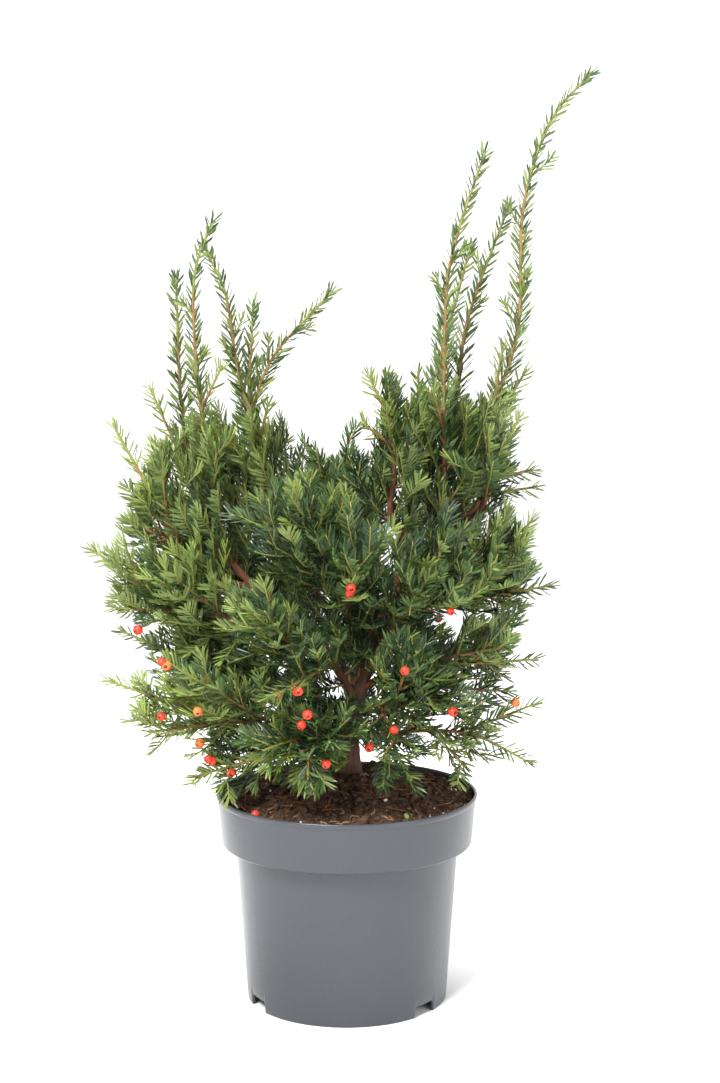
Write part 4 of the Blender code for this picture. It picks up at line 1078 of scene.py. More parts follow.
SIDE_HABIT = Habit(Order.SIDE, 0.0105, 0.010, 0.92, 42.0, 9.0, 0.62, 0.055, 1.0, 0.016)
STEEP_HABIT = Habit(Order.SIDE, 0.0110, 0.010, 0.92, 33.0, 7.0, 0.50, 0.060, 1.0, 0.016)
FINE_HABIT = Habit(Order.FINE, 0.0150, 0.012, 0.80, 38.0, 7.0, 0.55, 0.050, 0.8, 0.016, flat=True)
BOUGH_HABIT = Habit(Order.SIDE, 0.0120, 0.020, 0.99, 55.0, 12.0, 0.10, 0.040, 1.0, 0.018)
TUFT_HABIT = Habit(Order.TUFT, 0.0420, 0.010, 0.72, 40.0, 8.0, 0.45, 0.030, 0.5, 0.009, free=True)
TRUNK_HABIT = Habit(Order.SIDE, 0.0070, 0.028, 0.96, 62.0, 14.0, 0.05, 0.030, 1.0, 0.018, free=True)


class Needles:
    """Gathers needles and turns them into closed keeled blades of twelve triangles.

    A blade rises from a point to its full width, keeps it for two thirds of its length and ends
    in a point. Its middle stands above its edges, and it bends in a parabola along its length.
    """

    STATIONS = np.array((0.0, 0.14, 0.14, 0.14, 0.74, 0.74, 0.74, 1.0))
    ACROSS = np.array((0.0, -0.86, 0.0, 0.86, -1.0, 0.0, 1.0, 0.0))
    KEEL = np.array((0.0, 0.0, 1.0, 0.0, 0.0, 1.0, 0.0, 0.3))
    TOP_THREES = np.array(((0, 2, 1), (0, 3, 2), (4, 5, 7), (5, 6, 7)))
    TOP_FOURS = np.array(((1, 2, 5, 4), (2, 3, 6, 5)))
    UNDER_THREES = np.array(((0, 1, 3), (4, 7, 6)))
    UNDER_FOURS = np.array(((1, 4, 6, 3),))
    KEEL_HEIGHT = 0.40  # above the edges, as a share of half the breadth

    def __init__(self) -> None:
        """No needles yet."""
        self.parts: list[tuple[np.ndarray, ...]] = []

    def add(self, root: np.ndarray, heading: np.ndarray, upper: np.ndarray, length: np.ndarray,
            width: np.ndarray, bend: np.ndarray, tone: np.ndarray) -> None:
        """Adds needles, one for each row.

        Args:
            root: where each stands.
            heading: where it points.
            upper: the side that its upper face looks to.
            length: how long it is.
            width: half its breadth.
            bend: how far its tip is carried off its heading, as a vector.
            tone: its tone's number.
        """
        self.parts.append((root, heading, upper, length, width, bend, tone))

    def gathered(self) -> list[np.ndarray]:
        """The needles' values as whole arrays."""
        return [np.concatenate(values) for values in zip(*self.parts)]

    def into(self, surface: Surface, keep: np.ndarray) -> None:
        """Puts needles into a surface.

        Args:
            surface: takes them.
            keep: which of them.
        """
        root, heading, upper, length, width, bend, tone = (values[keep] for values in self.gathered())
        face = unit(upper - heading * (upper * heading).sum(1, keepdims=True))
        across = np.cross(heading, face)
        t = self.STATIONS[None, :, None]
        points = root[:, None] + heading[:, None] * t * length[:, None, None] + bend[:, None] * t**2
        points = points + across[:, None] * (self.ACROSS[None, :] * width[:, None])[..., None]
        rise = self.KEEL[None, :] * width[:, None] * self.KEEL_HEIGHT
        points = points + face[:, None] * rise[..., None]
        fresh = tone >= TONES.index(Tone.OLIVE)
        under = np.where(fresh, TONES.index(Tone.PALE_FRESH), TONES.index(Tone.PALE))
        surface.add_copies(points, Patch(self.TOP_THREES, tone), Patch(self.TOP_FOURS, tone),
                           Patch(self.UNDER_THREES, under), Patch(self.UNDER_FOURS, under))


# How shoots and needles change along the plant and along themselves.
OUTWARD_LIFT = Curve((0.34, 0.50), (0.1, 0.5))  # of a shoot's start, by height
LENGTH_AT = Curve((0.38, 0.50), (1.0, 1.3))  # of a side shoot, by height
RISE_AT = Curve((0.28, 0.36, 0.48, 0.68), (0.03, 0.10, 0.19, 0.22))  # upward turn, by height
NEEDLE_SIZE = Curve((0, 0.10, 0.45, 0.85, 1), (0.68, 0.92, 1.0, 0.88, 0.60))  # by share of the shoot
YOUNG_LEAN = Curve((0.0, 0.006, 0.02), (26.0, 46.0, 41.0))  # degrees, by what is left to the tip
SLENDER = Curve((0.6, 1), (0.85, 1))  # a small needle's breadth
TUBE_SIDES = {Order.STEM: 8, Order.SIDE: 6, Order.FINE: 5, Order.TUFT: 5}
CLEAR_BATCHES = 40  # needle ends are tested in so many lots, to spare memory


@dataclass(frozen=True)
class Shade:
    """What is added to a shoot's sun to give the value its needles' tones are read from; much of it is
    painted light and shade.
    """

    base: float = 0.35  # taken off
    across: float = 0.32  # taken off for each metre to the right: painted light, lighter on the lit left side
    # outside, high and topmost are painted light and shade: needles at the crown's outside, high up and at
    # its top are lighter, those inside darker
    outside: float = 0.30
    high: float = 0.20
    topmost: float = 0.14
    spray: float = 0.15  # how much it varies between shoots
    young: float = 0.51  # the value of a young shoot's needles
    young_tip: float = 0.06  # taken off near its tip
    young_needle: float = 0.09
    tip: float = 0.13  # of any other shoot
    last: float = 0.06  # and of its last needles
    inner: float = 0.16  # taken off towards a side shoot's root: partly older needles, partly painted shade
    needle: float = 0.11
    limits: tuple[float, ...] = (0.20, 0.35, 0.52, 0.70, 0.90)  # between the tones


@dataclass
class Crown:
    """The foliage: every mass's stems, side shoots, finer shoots, needles and buds."""

    limbs: Limbs
    reach: Corners
    stem_root: float = 2.3 * MM
    stem_tip: float = 1.2 * MM
    side_root: float = 1.35 * MM
    side_tip: float = 0.75 * MM
    side_share: float = 0.72  # a side shoot's greatest radius, as a share of its parent's
    stem_bare: float = 0.006  # lengths at their roots with no needles
    fork_bare: float = 0.008
    side_bare: float = 0.004
    fork_share: float = 0.78
    stem_step: float = 6 * MM
    side_step: float = 6.5 * MM
    least_inset: float = 5 * MM  # what side shoots keep from the crown's outline
    more_inset: float = 48 * MM
    length_range: tuple[float, float] = (0.64, 1.28)
    needle_step: float = 2.0 * MM
    whip_needle_step: float = 2.2 * MM
    crowding: float = 0.66  # of the needles below a tall shoot's bare part
    leafy_share: float = 0.20  # how far they go on into it
    needle_length: float = 17.5 * MM
    whip_needle_length: float = 14.0 * MM
    needle_half_width: float = 1.15 * MM
    fine_share: float = 0.62  # a finer shoot's length, as a share of its side shoot's
    tuft_length: float = 26 * MM
    tuft_needle: float = 0.72
    trunk_reach: float = 0.085
    bough_reach: float = 0.070
    bud_step: float = 9 * MM
    shade: Shade = Shade()
    shoots: list[Shoot] = field(default_factory=list)
    space: Space = field(init=False)

    def stems(self, owner: int, mass: Mass) -> list[Shoot]:
        """The stem of a mass and its forks.

        Args:
            owner: the mass's number.
            mass: its row.

        Returns:
            The stem, then the forks.
        """
        limb = self.limbs.rows[mass.bough]
        from_tip = mass.at == 1.0
        lead = limb.heading() if from_tip else None
        places = [at_share(limb.path, mass.at), *(np.array(p) * CM for p in (*mass.via, mass.tip))]
        path = smooth_path(places, self.stem_step, lead)
        thick = max(self.stem_root, limb.radii[-1] * 0.95) if from_tip else self.stem_root
        taper = Curve((0, 0.15, 1), (thick, self.stem_root, self.stem_tip))
        radii = taper.at(np.linspace(0, 1, len(path)))
        grown = [Shoot(path, radii, owner, Order.STEM, mass.sun, mass.whip, lead, self.stem_bare)]
        for fork in mass.forks:
            ring = int(fork.at * (len(path) - 1))
            ends = [np.array(p) * CM for p in (*fork.via, fork.tip)]
            lead = unit(0.4 * unit(path[ring + 1] - path[ring]) + unit(ends[0] - path[ring]))
            fork_path = smooth_path([path[ring], *ends], self.stem_step, lead)
            fork_radii = np.linspace(self.fork_share * radii[ring], self.stem_tip, len(fork_path))
            grown.append(Shoot(fork_path, fork_radii, owner, Order.STEM, mass.sun, fork.whip, lead,
                               self.fork_bare))
        return grown

    def side_shoots(self, parent: Shoot, habit: Habit, reach: float, draw: np.random.Generator,
                    start: float = 0.0, stop: float | None = None) -> list[Shoot]:
        """The side shoots of a shoot, each cut short where it would leave its space.

        Headings turn evenly from the leaning start towards the parent's direction and upwards,
        and the path is their running sum.

        Args:
            parent: what they leave.
            habit: how they leave it.
            reach: the longest one's length.
            draw: the random numbers.
            start: distance along the parent at which they begin, besides the habit's first.
            stop: distance at which they end, or the habit's share of the whole.

        Returns:
            The new shoots.
        """
        run = run_of(parent.path)
        total = run[-1]
        stop = total * habit.last if stop is None else stop
        count = int((stop - start - habit.first) / habit.spacing) + 1
        if count < 1:
            return []
        along, side, up = frames(parent.path, parent.lead)
        places = start + habit.first + habit.spacing * (np.arange(count) + draw.uniform(-0.3, 0.3, count))
        turns = draw.uniform(0, 2 * np.pi) + GOLDEN * np.arange(count)
        if habit.flat:
            turns = np.pi * np.arange(count) + draw.normal(0.0, 0.45, count)
        grown = []
        for place, turn in zip(places, turns):
            ring = int(np.clip(np.searchsorted(run, place), 1, len(run) - 2))
            root = parent.path[ring]
            out = math.cos(turn) * side[ring] + math.sin(turn) * up[ring]
            lean = math.radians(habit.angle + draw.uniform(-habit.spread, habit.spread))
            if habit.order != Order.TUFT:
                out = unit(out + habit.rise * OUTWARD_LIFT.at(root[2]) * UP)
            heading = math.cos(lean) * along[ring] + math.sin(lean) * out
            length = reach * (1 - habit.shortening * (place / total) ** 1.3)
            length = length * draw.uniform(*self.length_range) * LENGTH_AT.at(root[2])
            steps = max(2, round(length / self.side_step))
            rise = habit.rise * RISE_AT.at(root[2])
            drift = habit.follow * along[ring] + rise * UP + draw.normal(0, 0.022, 3)
            headings = unit(heading + 0.5 * np.arange(steps)[:, None] * drift)
            path = np.vstack([root, root + np.cumsum(headings * self.side_step, axis=0)])
            beyond = np.vstack([path[2:], path[-1] + headings[-1] * 8 * MM])
            if habit.free:
                held = self.space.clear(beyond)
            else:
                inset = self.least_inset + self.more_inset * math.sqrt(draw.random())
                held = self.space.holds(beyond, parent.owner, inset)
            whole = len(path) if held.all() else int(np.argmin(held)) + 1
            if (whole - 1) * self.side_step < habit.shortest:
                continue
            thick = min(self.side_root, self.side_share * np.interp(place, run, parent.radii))
            radii = np.linspace(thick, self.side_tip, whole)
            sun = parent.sun + 0.05 + draw.normal(0, 0.10)
            grown.append(Shoot(path[:whole], radii, parent.owner, habit.order, sun, bare=self.side_bare))
        return grown

    def finer(self, sides: list[Shoot], draw: np.random.Generator) -> None:
        """Grows the finer shoots of some side shoots.

        Args:
            sides: the side shoots. Those that are fine already or stand in a tuft bear none.
            draw: the random numbers.
        """
        for side in sides:
            if side.order == Order.SIDE:
                self.shoots += self.side_shoots(side, FINE_HABIT, self.fine_share * side.length(), draw)

    def grow(self) -> None:
        """Grows all the shoots, mass by mass and then on the boughs."""
        stems = [self.stems(owner, mass) for owner, mass in enumerate(MASSES)]
        every = [stem for group in stems for stem in group]
        self.space = Space(every, self.limbs.rows, self.reach)
        for owner, mass in enumerate(MASSES):
            draw = np.random.default_rng(SEED + owner)
            sides: list[Shoot] = []
            for stem in stems[owner]:
                switch = stem.length() * min(stem.whip, SIDE_HABIT.last)
                habit = STEEP_HABIT if stem.tall else SIDE_HABIT
                habit = replace(habit, spacing=habit.spacing * mass.open)
                sides += self.side_shoots(stem, habit, mass.side * CM, draw, stop=switch)
                if stem.tall:
                    sides += self.side_shoots(stem, TUFT_HABIT, self.tuft_length, draw, start=switch)
            self.shoots += stems[owner] + sides
            self.finer(sides, draw)
        draw = np.random.default_rng(SEED)
        for name, limb in self.limbs.rows.items():
            path, radii = limb.path[::2], limb.radii[::2]
            owner = int(self.space.owners[distances(path[-1:], self.space.stem_spans)[0].argmin()])
            # Shoots straight off a limb stand inside the crown, so their needles are drawn darker: painted
            # shade.
            parent = Shoot(path, radii, owner, Order.STEM, MASSES[owner].sun - 0.1)
            trunk = name == "trunk"
            sides = self.side_shoots(parent, TRUNK_HABIT if trunk else BOUGH_HABIT,
                                     self.trunk_reach if trunk else self.bough_reach, draw)
            self.shoots += sides
            self.finer(sides, draw)
        LOG.info("%d shoots, %.1f m", len(self.shoots), sum(shoot.length() for shoot in self.shoots))

    def stops(self, shoot: Shoot, total: float) -> tuple[np.ndarray, np.ndarray]:
        """Where a shoot's needles stand: evenly, further apart on a bare part, crowded at the tip.

        Args:
            shoot: the shoot.
            total: its length.

        Returns:
            Each needle's distance along the shoot, and whether it is on the young part.
        """
        upper = shoot.whip * total + self.leafy_share * total
        step = (self.crowding if shoot.tall else 1.0) * self.needle_step
        leafy = np.arange(shoot.bare, min(upper, total - 4 * MM), step)
        sparse = np.empty(0)
        tip = np.linspace(6 * MM, 0.0, 5)
        if shoot.tall:
            sparse = upper + np.cumsum(np.linspace(0.85 * self.needle_step, self.whip_needle_step, 200))
            sparse = sparse[sparse < total - 12 * MM]
            tip = np.linspace(14 * MM, 0.0, 15)
        stops = np.concatenate([leafy, sparse, total - tip])
        return stops, np.arange(len(stops)) >= len(leafy)

    def leaf_out(self, shoot: Shoot, needles: Needles, draw: np.random.Generator) -> None:
        """Puts a shoot's needles on it.

        A needle leans forward from the shoot's surface. On a side shoot they stand in two rows
        that rise a little from the plane facing the light, and on a stem by turns all round.
        Towards the tip they crowd, shorten and lean forward.

        Args:
            shoot: the shoot.
            needles: takes them.
            draw: the random numbers.
        """
        run = run_of(shoot.path)
        total = run[-1]
        stops, young = self.stops(shoot, total)
        count = len(stops)
        stops = stops + draw.uniform(-0.6, 0.6, count) * MM
        root = along_path(shoot.path, run, stops)
        heading = unit(along_path(frames(shoot.path, shoot.lead)[0], run, stops))
        light = UP + 0.75 * unit(root * (1, 1, 0)) + 0.25 * np.array((0, -1, 0))
        plane = unit(light - heading * (light * heading).sum(1, keepdims=True))
        across = np.cross(heading, plane)
        number = np.arange(count)
        upright = abs(float(unit(shoot.path[-1] - shoot.path[0])[2]))
        lift = np.radians(draw.normal(24, 7 + 8 * upright, count))
        angle = np.where(number % 2 == 0, lift, np.pi - lift)
        spiral = shoot.order in (Order.STEM, Order.TUFT)
        if spiral:
            angle = GOLDEN * number + draw.normal(0, 0.3, count)
        out = np.cos(angle)[:, None] * across + np.sin(angle)[:, None] * plane
        left, share = total - stops, stops / total
        lean = Curve((0.0, 0.006, 0.022), (20.0, 40.0, 56.0 - 8.0 * upright)).at(left)
        size = NEEDLE_SIZE.at(share)
        if shoot.tall:
            lean = np.where(young, YOUNG_LEAN.at(left), lean)
            switch = (0, 0.08, shoot.whip, shoot.whip + 0.3, 1)
            size = Curve(switch, (0.75, 1.05, 1.12, 1.0, 0.85)).at(share)
        lean = np.radians(lean + draw.normal(0, 5.0, count))[:, None]
        aim = unit(np.cos(lean) * heading + np.sin(lean) * out)
        facing, scatter = (0.3, 0.9) if spiral else (1.0, 0.35)
        upper = unit(facing * plane + scatter * draw.normal(size=(count, 3)))
        base = np.where(young & shoot.tall, self.whip_needle_length, self.needle_length)
        if shoot.order == Order.TUFT:
            base = base * self.tuft_needle
        length = base * size * draw.uniform(0.86, 1.10, count)
        width = self.needle_half_width * draw.uniform(0.88, 1.12, count) * SLENDER.at(size)
        width = width * (1.15 if shoot.tall else 1.0)
        forward = 0.20 if spiral else 0.12
        carried = forward * heading + draw.normal(0, 0.05, (count, 3)) + 0.03 * plane
        tone = self.tones(shoot, share, young, draw)
        thick = np.interp(stops, run, shoot.radii)[:, None]
        needles.add(root + out * thick * 0.6, aim, upper, length, width, length[:, None] * carried, tone)

    def tones(self, shoot: Shoot, share: np.ndarray, young: np.ndarray,
              draw: np.random.Generator) -> np.ndarray:
        """The tone of each needle of a shoot: one for the spray, and a lighter one near its tip.

        Args:
            shoot: the shoot, whose sun and distance from the plant's middle set its tone; the distance is
                painted shade, darker towards the middle.
            share: each needle's share of the shoot's length.
            young: which needles are on its young part.
            draw: the random numbers.

        Returns:
            The numbers of the tones.
        """
        shade, tip = self.shade, shoot.path[-1]
        tuft = shoot.order == Order.TUFT
        # Painted light and shade: lighter to the left, towards the crown's outside and high up.
        outside = math.hypot(tip[0] / 0.24, tip[1] / 0.15)
        high = float(np.clip((tip[2] - 0.42) / 0.20, 0, 1))
        topmost = float(np.clip((tip[2] - 0.58) / 0.06, 0, 1))
        value = shoot.sun - shade.base - shade.across * tip[0] + shade.outside * (outside - 0.7)
        value = value + shade.high * high + shade.topmost * topmost
        value = value + draw.normal(0, shade.spray)
        if shoot.tall or tuft:
            value = shade.young - shade.young_tip * (share > 0.9)
            value = value + draw.normal(0, shade.young_needle, len(share))
        value = value + (shade.tip * (share > 0.62) + shade.last * (share > 0.85)) * (not shoot.tall)
        value = value - 0.02 * young * shoot.tall + 0.05 * tuft
        # Darker towards a side shoot's root: partly older needles, partly painted shade.
        value = value - shade.inner * (share < 0.42) * (shoot.order != Order.STEM)
        return np.searchsorted(shade.limits, value + draw.normal(0, shade.needle, len(share)))

    def skin(self, shoot: Shoot) -> np.ndarray:
        """The bark slot of each length of a shoot: green above, amber and then brown below.

        Args:
            shoot: the shoot.

        Returns:
            The slots, from its root to its tip.
        """
        share = np.linspace(0, 1, len(shoot.path) - 1)
        green, amber, brown = (BARKS.index(b) for b in (Bark.GREEN, Bark.AMBER, Bark.BROWN))
        if shoot.order == Order.STEM:
            limits = (0.35, 0.75)
            if shoot.tall:
                limits = (0.5 * shoot.whip, shoot.whip + 0.62 * (1 - shoot.whip))
            return np.array((brown, amber, green))[np.searchsorted(limits, share)]
        if shoot.order == Order.SIDE:
            return np.where(share > 0.22, green, amber)
        return np.full(len(share), green)

    def add_buds(self, surface: Surface, shoot: Shoot, draw: np.random.Generator) -> None:
        """Sets small pointed buds along a young shoot: an octahedron drawn out along its heading.

        Args:
            surface: takes them.
            shoot: the shoot.
            draw: the random numbers.
        """
        run = run_of(shoot.path)
        stops = np.arange(shoot.whip * run[-1], run[-1] - 6 * MM, self.bud_step)
        if not len(stops):
            return
        heading = unit(along_path(frames(shoot.path, shoot.lead)[0], run, stops))
        angle = GOLDEN * np.arange(len(stops)) + draw.normal(0, 0.5, len(stops))
        across = unit(np.cross(heading, np.array((0.3, 1.0, 0.2))))
        out = np.cos(angle)[:, None] * across + np.sin(angle)[:, None] * np.cross(heading, across)
        thick = np.interp(stops, run, shoot.radii)[:, None]
        centre = along_path(shoot.path, run, stops) + out * (thick + 0.3 * MM)
        aim = unit(heading + 0.8 * out)
        flank = unit(np.cross(aim, out))
        third = np.cross(aim, flank)
        size = (draw.uniform(0.8, 1.25, len(stops)) * MM)[:, None]
        corners = ((1.5, aim), (-1.2, aim), (0.75, flank), (0.75, third), (-0.75, flank), (-0.75, third))
        points = np.stack([centre + far * size * axis for far, axis in corners], axis=1)
        sides = [(2 + k, 2 + (k + 1) % 4) for k in range(4)]
        threes = np.array([(0, a, b) for a, b in sides] + [(1, b, a) for a, b in sides])
        surface.add_copies(points, Patch(threes, BARKS.index(Bark.BUD)))

    def build(self) -> None:
        """Makes a piece of needles and one of shoots for each region, which stand for its masses."""
        self.grow()
        for region in Region:
            owners = [number for number, mass in enumerate(MASSES) if mass.region == region]
            draw = np.random.default_rng(SEED + 100 + len(owners))
            needles, twigs, leaves = Needles(), Surface(), Surface()
            for shoot in (s for s in self.shoots if s.owner in owners):
                add_tube(twigs, shoot.path, shoot.radii, TUBE_SIDES[shoot.order], self.skin(shoot),
                         shoot.lead)
                if shoot.tall:
                    self.add_buds(twigs, shoot, draw)
                self.leaf_out(shoot, needles, draw)
            root, heading, _, length, *_ = needles.gathered()
            ends = np.array_split(root + heading * length[:, None], CLEAR_BATCHES)
            needles.into(leaves, np.concatenate([self.space.clear(part) for part in ends]))
            leaves.build(f"needles_{region.value}", [tone.value for tone in TONES], "foliage",
                         *(MASSES[number].name for number in owners), smooth=False)
            twigs.build(f"shoots_{region.value}", [bark.value for bark in BARKS], "foliage")


def add_lumps(surface: Surface, centre: np.ndarray, size: np.ndarray, draw: np.random.Generator,
              slot: int) -> None:
    """Adds rough crumbs: octahedra with halved edges, their corners pushed in and out at random.

    Args:
        surface: takes them.
        centre: the middle of each.
        size: the three half breadths of each.
        draw: the random numbers.
        slot: their material slot.
    """
    count = len(centre)
    rough = CRUMB_POINTS[None] * draw.uniform(0.72, 1.18, (count, len(CRUMB_POINTS), 1))
    turn = unit(draw.normal(size=(count, 3)))
    flank = unit(np.cross(turn, unit(draw.normal(size=(count, 3)))))
    axes = np.stack([turn, flank, np.cross(turn, flank)], axis=1) * size[:, :, None]
    points = centre[:, None] + np.einsum("nij,njk->nik", rough, axes)
    surface.add_copies(points, Patch(CRUMB_FACES, slot))


def halved_octahedron() -> tuple[np.ndarray, np.ndarray]:
    """The points and faces of an octahedron whose edges are halved and pushed out to a ball.

    Returns:
        The points, at a distance of one from the middle, and the triangles.
    """
    ends = ((1, 0, 0), (0, 1, 0), (-1, 0, 0), (0, -1, 0), (0, 0, 1), (0, 0, -1))
    corners = [np.array(p, float) for p in ends]
    faces = []
    middles: dict[tuple[int, int], int] = {}
    for a, b in ((0, 1), (1, 2), (2, 3), (3, 0)):
        for threes in ((a, b, 4), (b, a, 5)):
            halves = []
            for low, high in zip(threes, (*threes[1:], threes[0])):
                key = (min(low, high), max(low, high))
                if key not in middles:
                    middles[key] = len(corners)
                    corners.append(unit(corners[low] + corners[high]))
                halves.append(middles[key])
            one, two, three = threes
            ab, bc, ca = halves
            faces += [(one, ab, ca), (ab, two, bc), (ca, bc, three), (ab, bc, ca)]
    return np.array(corners), np.array(faces)


CRUMB_POINTS, CRUMB_FACES = halved_octahedron()


@dataclass
class Pot:
    """The container: tapered body, wide rim band, recessed floor and notched skirt."""

    foot_radius: float = 0.1075
    neck_radius: float = 0.1195
    band_radius: float = 0.1345
    band_height: float = 0.1700
    recess: float = 0.0120
    floor: float = 0.0030
    pad_radius: float = 0.0720
    skirt_wall: float = 0.0030
    wall: float = 0.0022
    notch_width: float = 0.030
    notch_height: float = 0.0116
    notch_corner: float = 0.0040
    notch_centres: tuple[float, ...] = (-61.0, 50.0, 174.0)

    def columns(self) -> np.ndarray:
        """The angles of the columns, closer together round the corners of the notches.

        Returns:
            The angles in degrees, from the front round to the right.
        """
        half = self.notch_width / 2
        corner = np.linspace(half - self.notch_corner, half, 7)
        near = np.concatenate([corner, [half + 0.4 * MM, half + 2.5 * MM]])
        near = np.degrees(np.concatenate([-near, near]) / self.foot_radius)
        finer = np.concatenate([centre + near for centre in self.notch_centres])
        even = np.arange(0, 360, 2.0)
        gaps = np.abs((even[:, None] - finer[None] + 180) % 360 - 180).min(1)
        return np.sort(np.concatenate([even[gaps > 0.3], finer % 360]))

    def lift(self, angles: np.ndarray) -> np.ndarray:
        """How far the skirt's lower edge is raised at each angle: notches with rounded corners.

        Args:
            angles: the angles in degrees.

        Returns:
            The lift at each, in metres.
        """
        half, corner = self.notch_width / 2, self.notch_corner
        bend = np.linspace(0, np.pi / 2, 7)
        across = np.concatenate([[0.0], half - corner + corner * np.sin(bend), [half + 0.4 * MM]])
        height = np.concatenate([[1.0], 1 - (1 - np.cos(bend)) * corner / self.notch_height, [0.0]])
        away = [np.abs((angles - centre + 180) % 360 - 180) for centre in self.notch_centres]
        offset = np.radians(np.min(away, axis=0)) * self.foot_radius
        return self.notch_height * np.interp(offset, across, height)

    def profile(self) -> np.ndarray:
        """The turned profile, from the underside's middle round to the floor's middle.

        Returns:
            Rows of radius, height and the share of the notches' lift that the row takes.
        """
        rim, top, roll = RIM_RADIUS, RIM_HEIGHT, 1.5 * MM
        # The pad, the recess and the lower edge of the skirt.
        rows = [(self.pad_radius * 0.5, 0.0, 0), (self.pad_radius - 1.0 * MM, 0.0, 0),
                (self.pad_radius, 0.3 * MM, 0), (self.pad_radius + 2 * MM, self.recess, 0),
                (self.foot_radius - 8 * MM, self.recess, 0), (self.foot_radius - 2.4 * MM, self.recess, 0),
                (self.foot_radius - self.skirt_wall + 0.1 * MM, 1.0 * MM, 0.98),
                (self.foot_radius - self.skirt_wall + 0.5 * MM, 0.0, 1),
                (self.foot_radius - 0.6 * MM, 0.0, 1), (self.foot_radius, 0.6 * MM, 1)]
        # The body, the hollow under the band and the band.
        for share in np.linspace(0.02, 1, 26):
            height = (self.band_height - 2 * MM) * share
            radius = self.foot_radius + (self.neck_radius - self.foot_radius) * share
            rows.append((radius, height, max(0.0, 1 - share * 8)))
        rows += [(self.neck_radius + 0.4 * MM, self.band_height - 0.7 * MM, 0),
                 (self.neck_radius + 1.5 * MM, self.band_height, 0)]
        bend = np.linspace(-np.pi / 2, 0, 6)
        centre = (self.band_radius - 3 * MM, self.band_height + 3 * MM)
        rows += [(centre[0] + 3 * MM * math.cos(a), centre[1] + 3 * MM * math.sin(a), 0) for a in bend]
        for share in np.linspace(0.1, 1, 10):
            height = self.band_height + 3 * MM + (top - 6.4 * MM - self.band_height - 3 * MM) * share
            rows.append((self.band_radius + (rim - self.band_radius - 1.2 * MM) * share, height, 0))
        # The bead and the rolled lip, then the inside.
        rows += [(rim - 1.2 * MM, top - 5.9 * MM, 0), (rim - 0.5 * MM, top - 5.2 * MM, 0),
                 (rim - 0.05 * MM, top - 4.4 * MM, 0), (rim, top - 3.0 * MM, 0)]
        rows += [(rim - roll + roll * math.cos(a), top - roll + roll * math.sin(a), 0)
                 for a in np.linspace(0, np.pi, 9)]
        rows += [(self.band_radius - 3 * MM, self.band_height + 6 * MM, 0),
                 (self.neck_radius - self.wall, self.band_height + 3 * MM, 0),
                 (self.foot_radius - self.wall, self.recess + self.floor, 0)]
        return np.array(rows)

    def build(self) -> None:
        """Makes the pot, which stands for its node."""
        angles = self.columns()
        radius, height, share = (column[:, None] for column in self.profile().T)
        raised = height + self.lift(angles)[None] * share * (1 - height / self.band_height)
        turn = np.radians(angles)
        surface = Surface()
        surface.add_rings(np.stack([radius * np.sin(turn), -radius * np.cos(turn), raised], axis=-1),
                          (0, 0, 0), (0, 0, self.recess + self.floor))
        surface.build("pot_shell", [PLASTIC], "pot_plastic", "pot")


